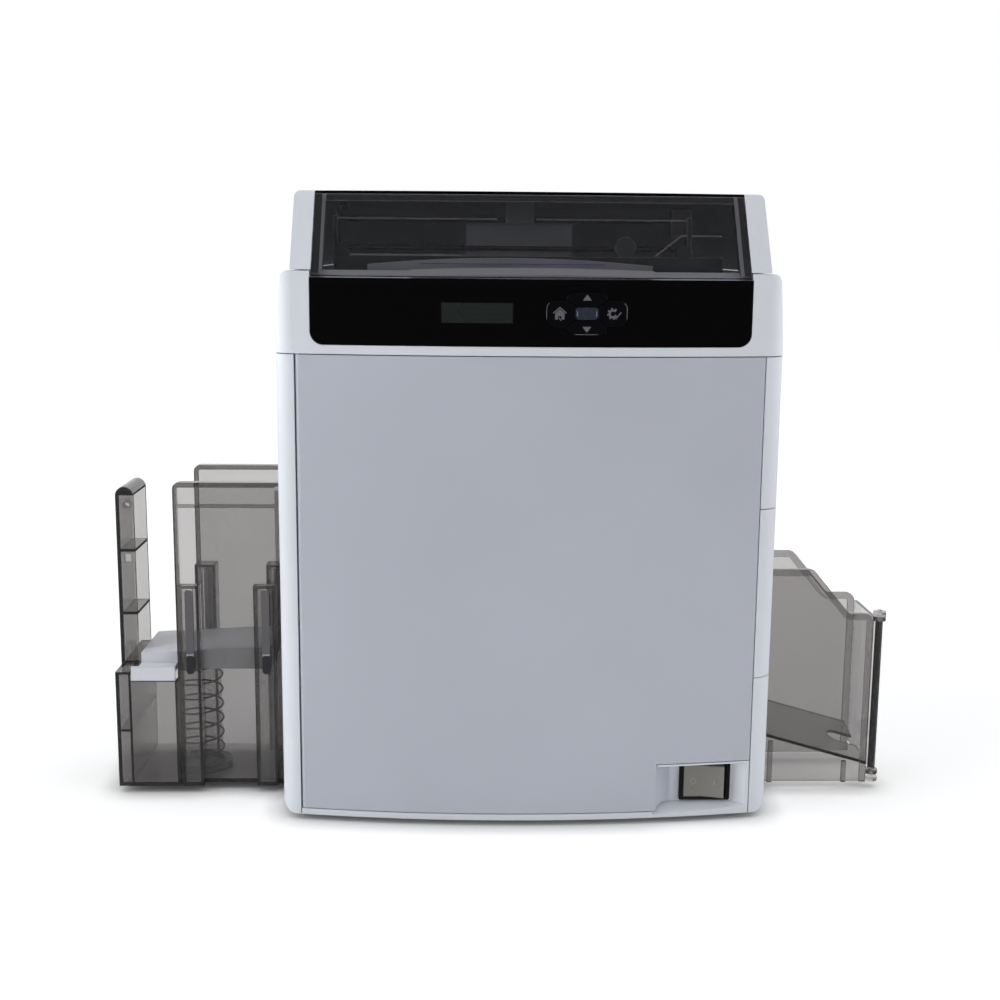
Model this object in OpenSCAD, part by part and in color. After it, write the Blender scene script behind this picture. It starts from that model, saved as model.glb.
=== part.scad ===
// Desktop ID card printer with a smoked input hopper, a smoked output tray,
// a hinged front door and a hinged top cover.
// Front faces -Y, +X is to the right, +Z is up, feet stand on Z = 0.

/* [Body] */
// Width of the body over its side walls
body_w = 320; // [310:5:340]
// Depth of the body behind its front corners
body_d = 330; // [310:5:360]
// Height of the seam between the lower body and the upper shell
seam_h = 305; // [302:1:312]
// How far the front bows out past its corners
front_bow = 12; // [8:1:15]
// Radius of the vertical front corners
corner_r = 14; // [12:0.5:15]
// Radius of the vertical rear corners
rear_r = 6; // [4:0.5:8]
// Radius of the lower side edges
skirt_r = 9; // [6:0.5:11]
// Wall thickness of the white mouldings
wall = 2.5; // [2:0.1:3]
// Width of the seams between mouldings
seam = 0.6; // [0.4:0.1:0.9]
// Diameter of a rubber foot
foot_d = 24; // [16:1:30]
// Height of a rubber foot
foot_h = 4; // [3:0.5:6]
// Height of the base moulding's front strip
strip_h = 4; // [3:0.5:5]
// Distance of the feet from the body's sides
foot_inset = 40; // [30:1:60]

// Height of the lower seam between the right side covers
low_seam = 96.5; // [90:0.5:100]
// Height of the upper seam between the right side covers
high_seam = 208; // [200:1:216]

/* [Upper shell] */
// Height of the upper shell's top ledge above the seam
shell_h = 51; // [48:1:54]
// How far the upper shell's sides lean in
shell_lean = 4; // [2:0.5:6]
// Radius of the shoulder at the ledge
shoulder_r = 6; // [4:0.5:7]
// Width of the ledge's rim round the top bay
rim_w = 9; // [7:0.5:12]

/* [Control panel] */
// Distance of the panel's ends from the body's sides
panel_in = 23; // [21:0.5:30]
// Height of the black control panel
panel_h = 41; // [40:0.5:43]
// Height of the panel's lower edge above the seam
panel_rise = 6; // [4:0.5:7]
// Radius of the panel's lower corners
panel_r = 8.5; // [5:0.5:11]
// Thickness of the panel
panel_t = 2; // [1.6:0.1:2.6]
// Display window width
lcd_w = 43.6; // [36:0.2:48]
// Display window height
lcd_h = 12.6; // [10:0.2:15]
// Display centre across the front
lcd_x = -34; // [-40:1:-30]
// Centre of the key cluster across the front
keys_x = 33.2; // [30:0.2:40]
// Width of the key cluster
keys_w = 50.8; // [48:0.2:54]
// Height of the key cluster
keys_h = 26.8; // [25:0.2:28]
// Width of the cluster's upper and lower lobes
lobe_w = 26; // [24:0.5:28]
// Height of the cluster's left and right lobes
lobe_h = 17; // [16:0.5:18]
// Width of the centre key
centre_w = 13.6; // [12:0.2:15]
// Height of the centre key
centre_h = 7.4; // [6.6:0.2:8]
// Gap round each key
key_gap = 0.3; // [0.2:0.05:0.4]
// How far a key moves when pressed
key_travel = 0.8; // [0.5:0.1:1.2]

/* [Front door] */
// Width of the strips beside the door
side_strip = 13.2; // [11.8:0.2:16]
// Depth of the door's side returns
door_return = 9; // [7:0.5:11]
// Radius of the rounded hinge edge
hinge_r = 3; // [2.6:0.1:3.4]
// Radius of the door's hinge pins
pin_r = 1.4; // [1.2:0.1:1.6]
// Length of a hinge pin
pin_len = 15; // [12:1:18]
// Running clearance of a pin in its bore
pin_fit = 0.05; // [0.03:0.01:0.09]

/* [Power switch] */
// Distance of the recess's left edge from the body's side
recess_in = 75.5; // [72:0.5:78]
// Top edge of the switch recess
recess_top = 40; // [39:0.5:44]
// Distance from the front corners back to the recess floor
recess_y = 4; // [3:0.5:6]
// Width of the switch bezel
bezel_w = 33.6; // [30:0.2:36]
// Height of the switch bezel
bezel_h = 26; // [24:0.2:27]
// Distance of the switch's centre from the body's side
switch_in = 42; // [41:0.5:44]
// Centre height of the switch
switch_z = 25.2; // [24.5:0.1:25.6]
// Width of the rocker
rocker_w = 26.4; // [24:0.2:28]
// Height of the rocker
rocker_h = 21.4; // [18:0.2:22]
// Tilt of the rocker at rest to either side
rocker_tilt = 8; // [6:0.5:9]

/* [Top cover] */
// Distance of the top cover's sides from the body's sides
cover_in = 10.5; // [10:0.5:12]
// Height of the top cover above the ledge
cover_h = 49.5; // [46:0.5:54]
// Backward lean of the cover's front
cover_lean = 34.4; // [30:0.2:38]
// Radius of the cover's upper side edges
cover_r = 4; // [3:0.5:6]
// Width of the white strips beside the smoked window
window_in = 13.3; // [12.5:0.1:16.5]
// How far the window wraps over the top
window_wrap = 14; // [10:1:20]
// Radius of the cover's rounded rear edge
cover_bead_r = 6; // [5:0.2:6.5]
// Radius of the cover's pivot pins
cover_pin_r = 3; // [2.5:0.1:3.5]
// Distance of the cover's rear edge from the body's back
cover_back = 6; // [4:1:30]

/* [Card path] */
// Length of a card
card_l = 85.6; // [85.6:0.1:86]
// Width of a card
card_w = 54; // [54:0.1:54.4]
// Room left beside a card on each side
card_room = 1.2; // [0.8:0.1:1.6]
// Distance of the card path's centre line behind the front corners
card_y = 84; // [83:0.5:86]
// Height of the card path
card_z = 150; // [149:0.5:151]
// Radius of the card path's rubber rollers
roller_r = 9; // [8:0.25:9.5]
// Radius of the heated transfer roller
transfer_r = 16; // [14:0.5:17]
// Radius of the roller shafts
shaft_r = 3; // [2.5:0.1:3.5]
// Running clearance of a shaft in its bush
shaft_fit = 0.05; // [0.03:0.01:0.09]

/* [Spools] */
// Radius of a ribbon spool's flange
ribbon_r = 24; // [20:0.5:25]
// Radius of a film spool's flange
film_r = 27; // [22:0.5:28]
// Radius of a spool's core
core_r = 9; // [8:0.5:10]
// Depth of the ribbon spools below the seam
ribbon_drop = 71; // [67:1:75]
// Distance of the ribbon spools from the body's sides
ribbon_in = 96; // [92:1:100]
// Height of the film spools above the seam
film_rise = 14; // [10:1:16]
// Distance of the film spools from the body's sides
film_in = 65; // [62:1:68]
// Width of the ribbon and the film
web_w = 60; // [58:0.5:61]
// Radius of the platen roller
platen_r = 10; // [8:0.5:11]

/* [Hopper] */
// Distance from the body to the hopper's front panel edge
panel_reach = 75; // [70:1:80]
// Distance from the body to the hopper's outer end
hopper_reach = 117; // [112:1:122]
// Height of the hopper's panels
hopper_h = 211; // [204:1:216]
// Thickness of the smoked walls
clear_t = 2.2; // [1.8:0.1:2.6]
// Height of the hopper's floor above the table
clear_z = 5; // [4:0.5:7]
// Height of the hopper's lower box
box_h = 81; // [76:1:82]
// Width of the rims round the smoked panels
rim_t = 2.4; // [2:0.1:3]
// How far the hopper's rims stand out
rim_d = 5; // [3.5:0.5:6]
// Radius of the hopper panels' upper corners
rim_r = 4.5; // [3.5:0.5:6]
// How far the lift guides stand out of the panels
guide_d = 6.5; // [5:0.5:8]
// Width of a lift guide
guide_w = 14.6; // [13:0.2:16]
// Height of the lift guides' tops
guide_top = 146; // [140:1:150]
// Distance of the inner lift guides' centre from the body
guide_in = 15.5; // [15:0.5:18]
// Distance of the outer lift guides' centre from the body
guide_out = 66.5; // [60:0.5:67]
// Width of a lift slot
slot_w = 4; // [3.4:0.1:4.6]
// Room behind the cards for the rear guides
rear_room = 13.6; // [12:0.2:16]
// Height of the end post above the lower box
post_h = 124; // [118:1:128]
// Width of the end post
post_w = 12; // [10:0.5:13]
// Depth of the end post
post_d = 40; // [34:1:44]

/* [Lift] */
// Length of the lift platform
lift_l = 88; // [86:0.5:90]
// Height of the platform's lower face
lift_z = 86; // [84:0.5:88]
// Thickness of the platform at its outer end
lift_t = 11; // [9:0.5:13]
// Rise of the platform's top towards the body
lift_rise = 4.5; // [3:0.5:6]
// Height of the platform's guide ears
ear_h = 8.4; // [7:0.2:9]
// Outer diameter of the lift spring
spring_d = 29; // [26:0.5:32]
// Wire diameter of the lift spring
spring_wire = 1.4; // [1.2:0.1:1.8]
// Number of turns of the lift spring
spring_turns = 9; // [7:1:10]

/* [Output tray] */
// Distance from the body to the tray's end
tray_reach = 89.4; // [84:0.2:92]
// Height of the tray's walls at the body
tray_h = 152; // [148:1:154]
// Height of the tray's walls at its end
tray_end_h = 121; // [116:1:124]
// Where the tray's top edge starts to fall
tray_step_a = 37; // [34:1:40]
// Where the tray's top edge stops falling
tray_step_b = 63; // [60:1:66]
// Height of the sloping floor at the body
tray_floor_a = 36; // [32:1:40]
// Height of the sloping floor at the tray's end
tray_floor_b = 12; // [10:1:14]
// Radius of the gate's hinge barrel
gate_r = 2.6; // [2.4:0.1:3]
// Radius of the knobs on the gate's hinge
knob_r = 4.35; // [4:0.05:5]
// Width of the rims along the tray's walls
tray_rim = 4.5; // [3:0.5:5]
// How far the tray's rims stand out
tray_rim_d = 1.8; // [1.2:0.1:2.2]
// Radius of the corners of the tray's walls
tray_r = 6; // [5:0.5:8]
// How far the tray's floor tilts towards the front
floor_tilt = 10; // [6:1:12]

/* [Hidden] */
$fn = 64;

half_w = body_w / 2;
tiny = 0.05;
big = 1000;
arc_x = half_w - corner_r;
bow_r = (arc_x * arc_x + front_bow * front_bow) / (2 * front_bow);
bow_c = bow_r - front_bow;
corner_y = bow_c - sqrt(pow(bow_r - corner_r, 2) - arc_x * arc_x);
function front_y(x) = bow_c - sqrt(bow_r * bow_r - x * x);
door_x = half_w - side_strip;
panel_w = body_w - 2 * panel_in;
recess_x = half_w - recess_in;
switch_x = half_w - switch_in;
cover_x = half_w - cover_in;
window_x = cover_x - window_in;
cover_d = body_d - cover_back;
ribbon_z = seam_h - ribbon_drop;
ribbon_span = body_w - 2 * ribbon_in;
film_span = body_w - 2 * film_in;
door_z0 = foot_h + strip_h + seam;
door_z1 = seam_h - seam / 2;
shell_z0 = seam_h + seam / 2;
ledge_z = seam_h + shell_h;
cover_z0 = ledge_z + seam;
cover_z1 = ledge_z + cover_h;
panel_z0 = seam_h + panel_rise;
panel_z1 = panel_z0 + panel_h;
window_z0 = panel_z1 + seam;
keys_z = panel_z0 + panel_h / 2;
edge_x = door_x + seam;
card_half = card_w / 2 + card_room;
mid_x = (tray_reach - hopper_reach) / 2;
front_edge = -front_bow;
screw_r = 3.4;
screw_h = 1.8;
screw_grip = 4;
mid_y = (body_d + screw_h + front_edge) / 2;
chassis_y = card_y + card_half + 9;
chassis_t = 2;
bearing_y = card_y - card_half - 6;
film_z = seam_h + film_rise;

module at_body() {
  translate([-mid_x, -mid_y, 0]) children();
}

module span(x0, x1, y0, y1, z0, z1) {
  translate([x0, y0, z0]) cube([x1 - x0, y1 - y0, z1 - z0]);
}

module both() {
  children();
  mirror([1, 0, 0]) children();
}

module along_y(y0, y1) {
  translate([0, y1, 0]) rotate([90, 0, 0]) linear_extrude(y1 - y0) children();
}

module along_x(x0, x1) {
  translate([x0, 0, 0]) rotate([90, 0, 90]) linear_extrude(x1 - x0) children();
}

module rod_y(x, z, r, y0, y1) {
  translate([x, y1, z]) rotate([90, 0, 0]) cylinder(r = r, h = y1 - y0);
}

module rod_x(y, z, r, x0, x1) {
  translate([x0, y, z]) rotate([0, 90, 0]) cylinder(r = r, h = x1 - x0);
}

// Rectangle with true round corners, centred.
module round_rect(w, h, r) {
  square([w - 2 * r, h], center = true);
  square([w, h - 2 * r], center = true);
  for (sx = [-1, 1], sy = [-1, 1])
    translate([sx * (w / 2 - r), sy * (h / 2 - r)]) circle(r = r);
}

// Plan of the body inset by t: bowed front, round corners.
module plan(t = 0) {
  ux = arc_x / (bow_r - corner_r);
  uy = (corner_y - bow_c) / (bow_r - corner_r);
  reach = corner_r + 2 * front_bow;
  intersection() {
    translate([0, bow_c]) circle(r = bow_r - t, $fn = 600);
    polygon([
      [-arc_x, corner_y], [arc_x, corner_y],
      [arc_x + reach * ux, corner_y + reach * uy],
      [-arc_x - reach * ux, corner_y + reach * uy]
    ]);
  }
  for (s = [-1, 1]) {
    translate([s * arc_x, corner_y]) circle(r = corner_r - t);
    translate([s * (half_w - rear_r), body_d - rear_r]) circle(r = max(rear_r - t, tiny));
  }
  translate([-half_w + t, corner_y]) square([body_w - 2 * t, body_d - rear_r - corner_y]);
  translate([-half_w + rear_r, corner_y]) square([body_w - 2 * rear_r, body_d - t - corner_y]);
}

// Front view of the lower body: round lower edges.
module skirt(t = 0) {
  c = [half_w - skirt_r, foot_h + skirt_r];
  r = skirt_r - t;
  low = [for (a = [270:10:360]) c + r * [cos(a), sin(a)]];
  polygon(concat(low, [[half_w - t, big], [-half_w + t, big]], [for (i = [9:-1:0]) [-low[i][0], low[i][1]]]));
}

module body_block(t, z0, z1) {
  intersection() {
    translate([0, 0, z0]) linear_extrude(z1 - z0) plan(t);
    along_y(front_edge - 1, body_d + 1) skirt(t);
  }
}

// Front view of the upper shell: sides that lean in to a round shoulder.
module shoulder(t = 0) {
  top_x = half_w - shell_lean;
  r = shoulder_r - t;
  arc_z = ledge_z - shoulder_r;
  polygon([
    [-half_w + t, seam_h - 1], [half_w - t, seam_h - 1],
    [top_x - t, arc_z], [-top_x + t, arc_z]
  ]);
  translate([-top_x + shoulder_r, arc_z - tiny]) square([2 * (top_x - shoulder_r), shoulder_r - t + tiny]);
  for (s = [-1, 1]) translate([s * (top_x - shoulder_r), arc_z]) circle(r = r);
}

module upper_block(t, z0, z1) {
  intersection() {
    translate([0, 0, z0]) linear_extrude(z1 - z0) plan(t);
    along_y(front_edge - 1, body_d + 1) shoulder(t);
  }
}

// Screws: pan heads with their shanks, axis along the given direction.
module screw(r, h, shank) {
  cylinder(r = r, h = h);
  translate([0, 0, -shank]) cylinder(r = r / 2, h = shank);
}

// ---- lower body ----

lug_w = 12;
hole_room = 0.1;
foot_x = half_w - foot_inset;
foot_y0 = foot_inset;
foot_y1 = body_d - foot_inset;
floor_z1 = foot_h + wall;
recess_x1 = door_x - 2;
slab_t = 1.2;
recess_back_x1 = switch_x + bezel_w / 2 + 2.2;
recess_low = switch_z - bezel_h / 2 - 1;
rear_screws = [for (x = [-1, 1], z = [20, seam_h - 16]) [x * (door_x - 14), z]];
vent_w = 14;
vent_h = 5;
vent_dx = 20;
vent_dy = 14;
vent_x0 = -half_w / 2;
vent_in = 60;

// The opening for the rocker's housing in the recess floor.
module switch_hole(grow = 0) {
  span(switch_x - rocker_w / 2 - 2 - grow, switch_x + rocker_w / 2 + 2 + grow, recess_y - 1, recess_y + 30,
       switch_z - rocker_h / 2 - 1.2 - grow, switch_z + rocker_h / 2 + 1.2 + grow);
}

// Space scooped out in front of the switch, with sloping floor and right side.
module recess_space() {
  intersection() {
    linear_extrude(big) polygon([
      [recess_x - 2, -2 * front_bow], [recess_x1, -2 * front_bow], [recess_x1, front_y(recess_x1)],
      [recess_back_x1, recess_y], [recess_x - 2, recess_y]
    ]);
    along_x(0, big) polygon([
      [-2 * front_bow, foot_h + strip_h / 2], [front_y(recess_x) - 0.5, foot_h + strip_h / 2],
      [recess_y, recess_low], [recess_y, recess_top - slab_t], [-2 * front_bow, recess_top - slab_t]
    ]);
  }
}

module base_tray() {
  color("gainsboro") at_body() difference() {
    union() {
      intersection() {
        body_block(0, foot_h, floor_z1);
        span(-door_x, door_x, front_edge - 1, body_d + 1, 0, big);
      }
      intersection() {
        difference() {
          body_block(0, foot_h, foot_h + strip_h);
          body_block(wall + 6, foot_h - 1, foot_h + strip_h + 1);
        }
        span(-door_x, door_x, front_edge - 1, corner_y, 0, big);
      }
      intersection() {
        body_block(0, foot_h, recess_top);
        span(recess_x + seam, door_x, front_edge - 1, recess_y + wall, 0, big);
      }
      for (p = rear_screws) if (p[1] < seam_h / 2)
        span(p[0] - lug_w / 2, p[0] + lug_w / 2, body_d - wall - lug_w, body_d - wall,
             foot_h, p[1] + lug_w / 2);
    }
    recess_space();
    switch_hole();
    for (p = rear_screws) rod_y(p[0], p[1], screw_r / 2 + hole_room, body_d - wall - screw_grip - 1, body_d);
    door_pin_at(foot_h + 1) cylinder(r = pin_r + pin_fit, h = big);
    // Rows of vents in the floor.
    for (i = [0:6], j = [0:5]) translate([vent_x0 + i * vent_dx, corner_y + vent_in + j * vent_dy, 0])
      linear_extrude(big) round_rect(vent_w, vent_h, vent_h / 2 - tiny);
  }
}

module feet() {
  color("dimgray") at_body() for (s = [-1, 1], y = [foot_y0, foot_y1]) {
    translate([s * foot_x, y, 0]) cylinder(r1 = foot_d / 2 - 1, r2 = foot_d / 2, h = foot_h);
  }
}

// One side of the lower body between two heights.
module side_shell(side, z0, z1) {
  x_in = side > 0 ? edge_x : -half_w - 1;
  x_out = side > 0 ? half_w + 1 : -edge_x;
  flange_x = side > 0 ? edge_x : -edge_x - wall;
  difference() {
    intersection() {
      body_block(0, z0, z1);
      span(x_in, x_out, front_edge - 1, body_d + 1, z0, z1);
    }
    difference() {
      body_block(wall, z0 - 1, z1 + 1);
      span(flange_x, flange_x + wall, front_edge - 1, corner_y + 2, z0 - 2, z1 + 2);
      span(flange_x, flange_x + wall, body_d - 12, body_d + 1, z0 - 2, z1 + 2);
    }
  }
}

module card_slot(x0, x1) {
  span(x0, x1, card_y - card_half - 1, card_y + card_half + 1, card_z - 9, card_z + 14);
}

module left_side_cover() {
  color("whitesmoke") at_body() difference() {
    side_shell(-1, foot_h, door_z1);
    card_slot(-half_w - 1, -half_w + wall + 1);
  }
}

module right_side_cover() {
  color("whitesmoke") at_body() side_shell(1, high_seam + seam / 2, door_z1);
}

module exit_side_cover() {
  color("whitesmoke") at_body() difference() {
    side_shell(1, low_seam + seam / 2, high_seam - seam / 2);
    card_slot(half_w - wall - 1, half_w + 1);
  }
}

module lower_side_cover() {
  color("whitesmoke") at_body() side_shell(1, foot_h, low_seam - seam / 2);
}

fan_size = 60;
fan_hub_r = 13;
fan_x = 70;
fan_z = seam_h - fan_size - 9;
fan_pitch = fan_size - 10;
fan_screws = [for (s = [-1, 1], t = [-1, 1]) [fan_x + s * fan_pitch / 2, fan_z + t * fan_pitch / 2]];
inlet_x = -half_w + 65;
inlet_z = 40;
inlet_w = 48;
inlet_h = 28;
ports_x = 10;
ports_z = 44;
usb_w = 12;
usb_h = 11;
lan_w = 16;
lan_h = 14;
port_gap = 20;
slit_w = 34;
slit_h = 3.4;
slit_dx = 40;
slit_dz = 8;
slit_x0 = -door_x + slit_w + 3;
slit_z0 = 120;
ring_pitch = 5;
ring_w = 2.6;

// Square cut through the rear wall round a socket.
module socket_hole(x, z, w, h) {
  span(x - w / 2 - seam, x + w / 2 + seam, body_d - wall - 1, body_d + 1, z - h / 2 - seam, z + h / 2 + seam);
}

module rear_cover() {
  color("whitesmoke") at_body() difference() {
    union() {
      span(-door_x, door_x, body_d - wall, body_d, floor_z1, door_z1);
      both() span(door_x - 1.5 * wall, door_x - wall / 2, body_d - 10, body_d, floor_z1, door_z1);
    }
    // Rings of slots in front of the fan.
    for (r = [fan_hub_r:ring_pitch:fan_size / 2 - 4], a = [0:90:270])
      translate([fan_x, body_d - wall / 2, fan_z]) rotate([90, a, 0]) rotate([0, 0, 8])
        rotate_extrude(angle = 74) translate([r, -wall]) square([ring_w, 2 * wall]);
    for (i = [0:7], j = [0:2]) translate([slit_x0 + j * slit_dx, 0, slit_z0 + i * slit_dz])
      along_y(body_d - wall - 1, body_d + 1) round_rect(slit_w, slit_h, slit_h / 2 - tiny);
    socket_hole(inlet_x, inlet_z, inlet_w, inlet_h);
    socket_hole(ports_x, ports_z, usb_w, usb_h);
    socket_hole(ports_x + port_gap, ports_z, lan_w, lan_h);
    for (p = concat(rear_screws, fan_screws))
      rod_y(p[0], p[1], screw_r / 2 + hole_room, body_d - wall - 1, body_d + 1);
  }
}

module case_screws() {
  color("silver") at_body() {
    for (p = concat(rear_screws, fan_screws)) translate([p[0], body_d, p[1]]) rotate([-90, 0, 0])
      screw(screw_r, screw_h, wall + screw_grip);
  }
}

// ---- upper shell and control panel ----

bay_x = cover_x - rim_w;
bay_y0 = rim_w;
pivot_y = cover_d - cover_bead_r;
pivot_z = cover_z0 + cover_bead_r;
bay_y1 = pivot_y - 2 * cover_bead_r;
ear_t = 4;
ear_r = 5;
grip_t = 2.5;
grip_rise = 4.3;
grip_x = 75;
grip_h = 5;
ear_x = cover_x - wall - 1 - ear_t;
board_y = 3;
board_t = 1.6;
board_z0 = panel_z0 + 2;
board_z1 = panel_z1 - 4;
board_x = 66;
key_front = 0.4;
key_back = front_edge + 7;
switch_h = 4;
switch_w = 6;
post_r = 2.6;
key_r = 5.5;
plug_w = 16;
key_dx = (keys_w + centre_w) / 4 + 1;
key_dz = (keys_h + centre_h) / 4;

module panel_outline(grow = 0) {
  w = panel_w + 2 * grow;
  translate([-w / 2, panel_z0 - grow + panel_r]) square([w, panel_h + grow - panel_r + tiny]);
  translate([-w / 2 + panel_r, panel_z0 - grow]) square([w - 2 * panel_r, panel_r + tiny]);
  for (s = [-1, 1]) translate([s * (w / 2 - panel_r), panel_z0 - grow + panel_r]) circle(r = panel_r);
}

module cluster(shrink = 0) {
  translate([keys_x, keys_z]) {
    round_rect(keys_w - 2 * shrink, lobe_h - 2 * shrink, key_r);
    round_rect(lobe_w - 2 * shrink, keys_h - 2 * shrink, key_r);
  }
}

module display_outline(grow = 0) {
  translate([lcd_x, keys_z]) square([lcd_w + 2 * grow, lcd_h + 2 * grow], center = true);
}

module board_posts() {
  for (s = [-1, 1], z = [board_z0 + 3, board_z1 - 3])
    rod_y(s * (board_x - 4), z, post_r, front_edge + wall + 1, board_y);
}

module upper_shell() {
  color("whitesmoke") at_body() difference() {
    union() {
      difference() {
        upper_block(0, shell_z0, ledge_z);
        intersection() {
          upper_block(wall, shell_z0 - 1, ledge_z - wall);
          translate([0, panel_t + seam, 0]) upper_block(wall, shell_z0 - 1, ledge_z - wall);
          union() {
            span(-half_w, half_w, corner_y, body_d, 0, big);
            span(-half_w, half_w, bay_y0, corner_y + 1, shell_z0 + wall, big);
            span(-half_w, half_w, 2 * front_edge, bay_y0 + 1, shell_z0 + wall, panel_z1 - wall);
          }
        }
        // Step in the front rim that the cover's window and grip close into.
        difference() {
          span(-window_x - seam, window_x + seam, 2 * front_edge, bay_y0, panel_z1, big);
          lean_block(wall + grip_t + 2 * seam);
        }
        span(-bay_x, bay_x, bay_y0, bay_y1, ledge_z - wall - 1, ledge_z + 1);
      }
      intersection() {
        upper_block(wall / 2, shell_z0, ledge_z - 1);
        board_posts();
      }
      both() {
        rod_x(pivot_y, pivot_z, ear_r, ear_x, ear_x + ear_t);
        span(ear_x, ear_x + ear_t, pivot_y - ear_r, pivot_y + ear_r, ledge_z - wall, pivot_z);
      }
      for (p = rear_screws) if (p[1] > seam_h / 2)
        span(p[0] - lug_w / 2, p[0] + lug_w / 2, body_d - wall - lug_w, body_d - wall,
             p[1] - lug_w / 2, shell_z0 + 3 * wall);
    }
    for (p = rear_screws)
      rod_y(p[0], p[1], screw_r / 2 + hole_room, body_d - wall - screw_grip - 1, body_d - wall + tiny);
    difference() {
      along_y(2 * front_edge, 5) panel_outline(0.15);
      upper_block(panel_t, shell_z0 - 1, ledge_z + 1);
    }
    along_y(2 * front_edge, 5) cluster();
    along_y(2 * front_edge, board_y - 1) display_outline();
    rod_x(pivot_y, pivot_z, cover_pin_r + pin_fit, -big / 2, big / 2);
    door_pin_at(shell_z0 - 1) cylinder(r = pin_r + pin_fit, h = wall + 2);
  }
}

module control_panel() {
  color("black") at_body() difference() {
    intersection() {
      along_y(2 * front_edge, 5) panel_outline();
      upper_block(0, shell_z0, ledge_z);
    }
    upper_block(panel_t - tiny, shell_z0 - 1, ledge_z + 1);
    along_y(2 * front_edge, 5) cluster();
    along_y(2 * front_edge, 5) display_outline();
  }
}

module display_window() {
  color("darkslategray") at_body() difference() {
    intersection() {
      along_y(2 * front_edge, 5) display_outline(-0.1);
      upper_block(0.2, shell_z0, ledge_z);
    }
    upper_block(panel_t - 0.4, shell_z0 - 1, ledge_z + 1);
  }
}

// One key: its outline cut from the cluster, domed to the panel's bow.
module key_solid() {
  intersection() {
    along_y(2 * front_edge, key_back) children();
    translate([0, 0, panel_z0]) linear_extrude(panel_h) plan(-key_front);
  }
}

module key_stem(x, z) {
  rod_y(x, z, 2, key_back - 1, board_y - switch_h - key_travel - 0.1);
}

// Quarter of the cluster that one side key takes: above, or to the right.
module side_wedge(a) {
  cx = centre_w / 2;
  cz = centre_h / 2;
  lx = lobe_w / 2;
  lz = lobe_h / 2;
  translate([keys_x, keys_z]) if (a == 0)
    polygon([
      [-cx, cz + key_gap], [cx, cz + key_gap], [lx - key_gap, lz],
      [lx, keys_h], [-lx, keys_h], [-lx + key_gap, lz]
    ]);
  else
    polygon([
      [cx + key_gap, -cz], [cx + key_gap, cz], [lx, lz - key_gap],
      [keys_w, lz], [keys_w, -lz], [lx, -lz + key_gap]
    ]);
}

// One side key: a is 0 for left and right, 1 for up and down.
module lobe_key(a, flip) {
  color("black") at_body() {
    key_solid() intersection() {
      cluster(key_gap);
      translate([keys_x, keys_z]) mirror([flip * (1 - a), flip * a])
        translate([-keys_x, -keys_z]) side_wedge(1 - a);
    }
    key_stem(keys_x + (1 - a) * (1 - 2 * flip) * key_dx, keys_z + a * (1 - 2 * flip) * key_dz);
  }
}

module home_button() {
  lobe_key(0, 1);
}

module menu_button() {
  lobe_key(0, 0);
}

module up_button() {
  lobe_key(1, 0);
}

module down_button() {
  lobe_key(1, 1);
}

module select_button() {
  color("slategray") at_body() {
    key_solid() translate([keys_x, keys_z]) round_rect(centre_w, centre_h, 1.8);
    key_stem(keys_x, keys_z);
  }
}

module control_board() {
  color("darkgreen") at_body() {
    span(-board_x, board_x, board_y, board_y + board_t, board_z0, board_z1);
    for (p = [[0, 0], [key_dx, 0], [-key_dx, 0], [0, key_dz], [0, -key_dz]])
      translate([keys_x + p[0], 0, keys_z + p[1]]) along_y(board_y - switch_h, board_y)
        square([switch_w, switch_w - 0.8], center = true);
    span(lcd_x - lcd_w / 2 + 0.4, lcd_x + lcd_w / 2 - 0.4, front_y(lcd_x - lcd_w / 2) + panel_t + 0.4, board_y,
         keys_z - lcd_h / 2 + 0.4, keys_z + lcd_h / 2 - 0.4);
    span(-plug_w / 2, plug_w / 2, board_y + board_t, board_y + board_t + 5, board_z0 + 3, board_z0 + 9);
  }
}

// ---- front door ----

hinge_x = -door_x + hinge_r;
hinge_y = front_y(hinge_x) + hinge_r + tiny;
return_t = 1.8;
return_r = recess_y - front_y(recess_x) - return_t - seam;
rib_t = 1.8;
rib_d = 6;
scoop_lip = 0.3;
ribs_x = [-90, 0, recess_x - 4.5];
ribs_z = [86, 150, 214];
catch_z = seam_h - 65;
catch_l = 22;
catch_d = 9;

module door_pin_at(z) {
  translate([hinge_x, hinge_y, z]) children();
}

// Front view of the door with its notch, inset by t.
module door_outline(t = 0) {
  polygon([
    [hinge_x + t, door_z0 + t], [recess_x - t, door_z0 + t], [recess_x - t, recess_top + seam + t],
    [door_x - t, recess_top + seam + t], [door_x - t, door_z1 - t], [hinge_x + t, door_z1 - t]
  ]);
}

module door_block(t) {
  intersection() {
    linear_extrude(big) plan(t);
    along_y(2 * front_edge, corner_y + 5) door_outline(t);
  }
}

// Concave wall that turns the door's edge back into the switch recess.
module door_scoop() {
  c = [recess_x + return_r + scoop_lip, front_y(recess_x) + scoop_lip];
  difference() {
    intersection() {
      translate([c[0], c[1], 0]) difference() {
        cylinder(r = return_r + return_t, h = recess_top - slab_t - seam);
        translate([0, 0, -1]) cylinder(r = return_r, h = big);
      }
      span(-big, c[0], c[1], big, door_z0, big);
    }
    along_x(0, big) polygon([
      [-2 * front_bow, 0], [recess_y + 5, 0], [recess_y + 5, recess_low + 2 * seam],
      [recess_y, recess_low + 2 * seam], [front_y(recess_x) - 0.5, foot_h + strip_h / 2 + 2 * seam],
      [-2 * front_bow, foot_h + strip_h / 2]
    ]);
  }
}

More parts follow.
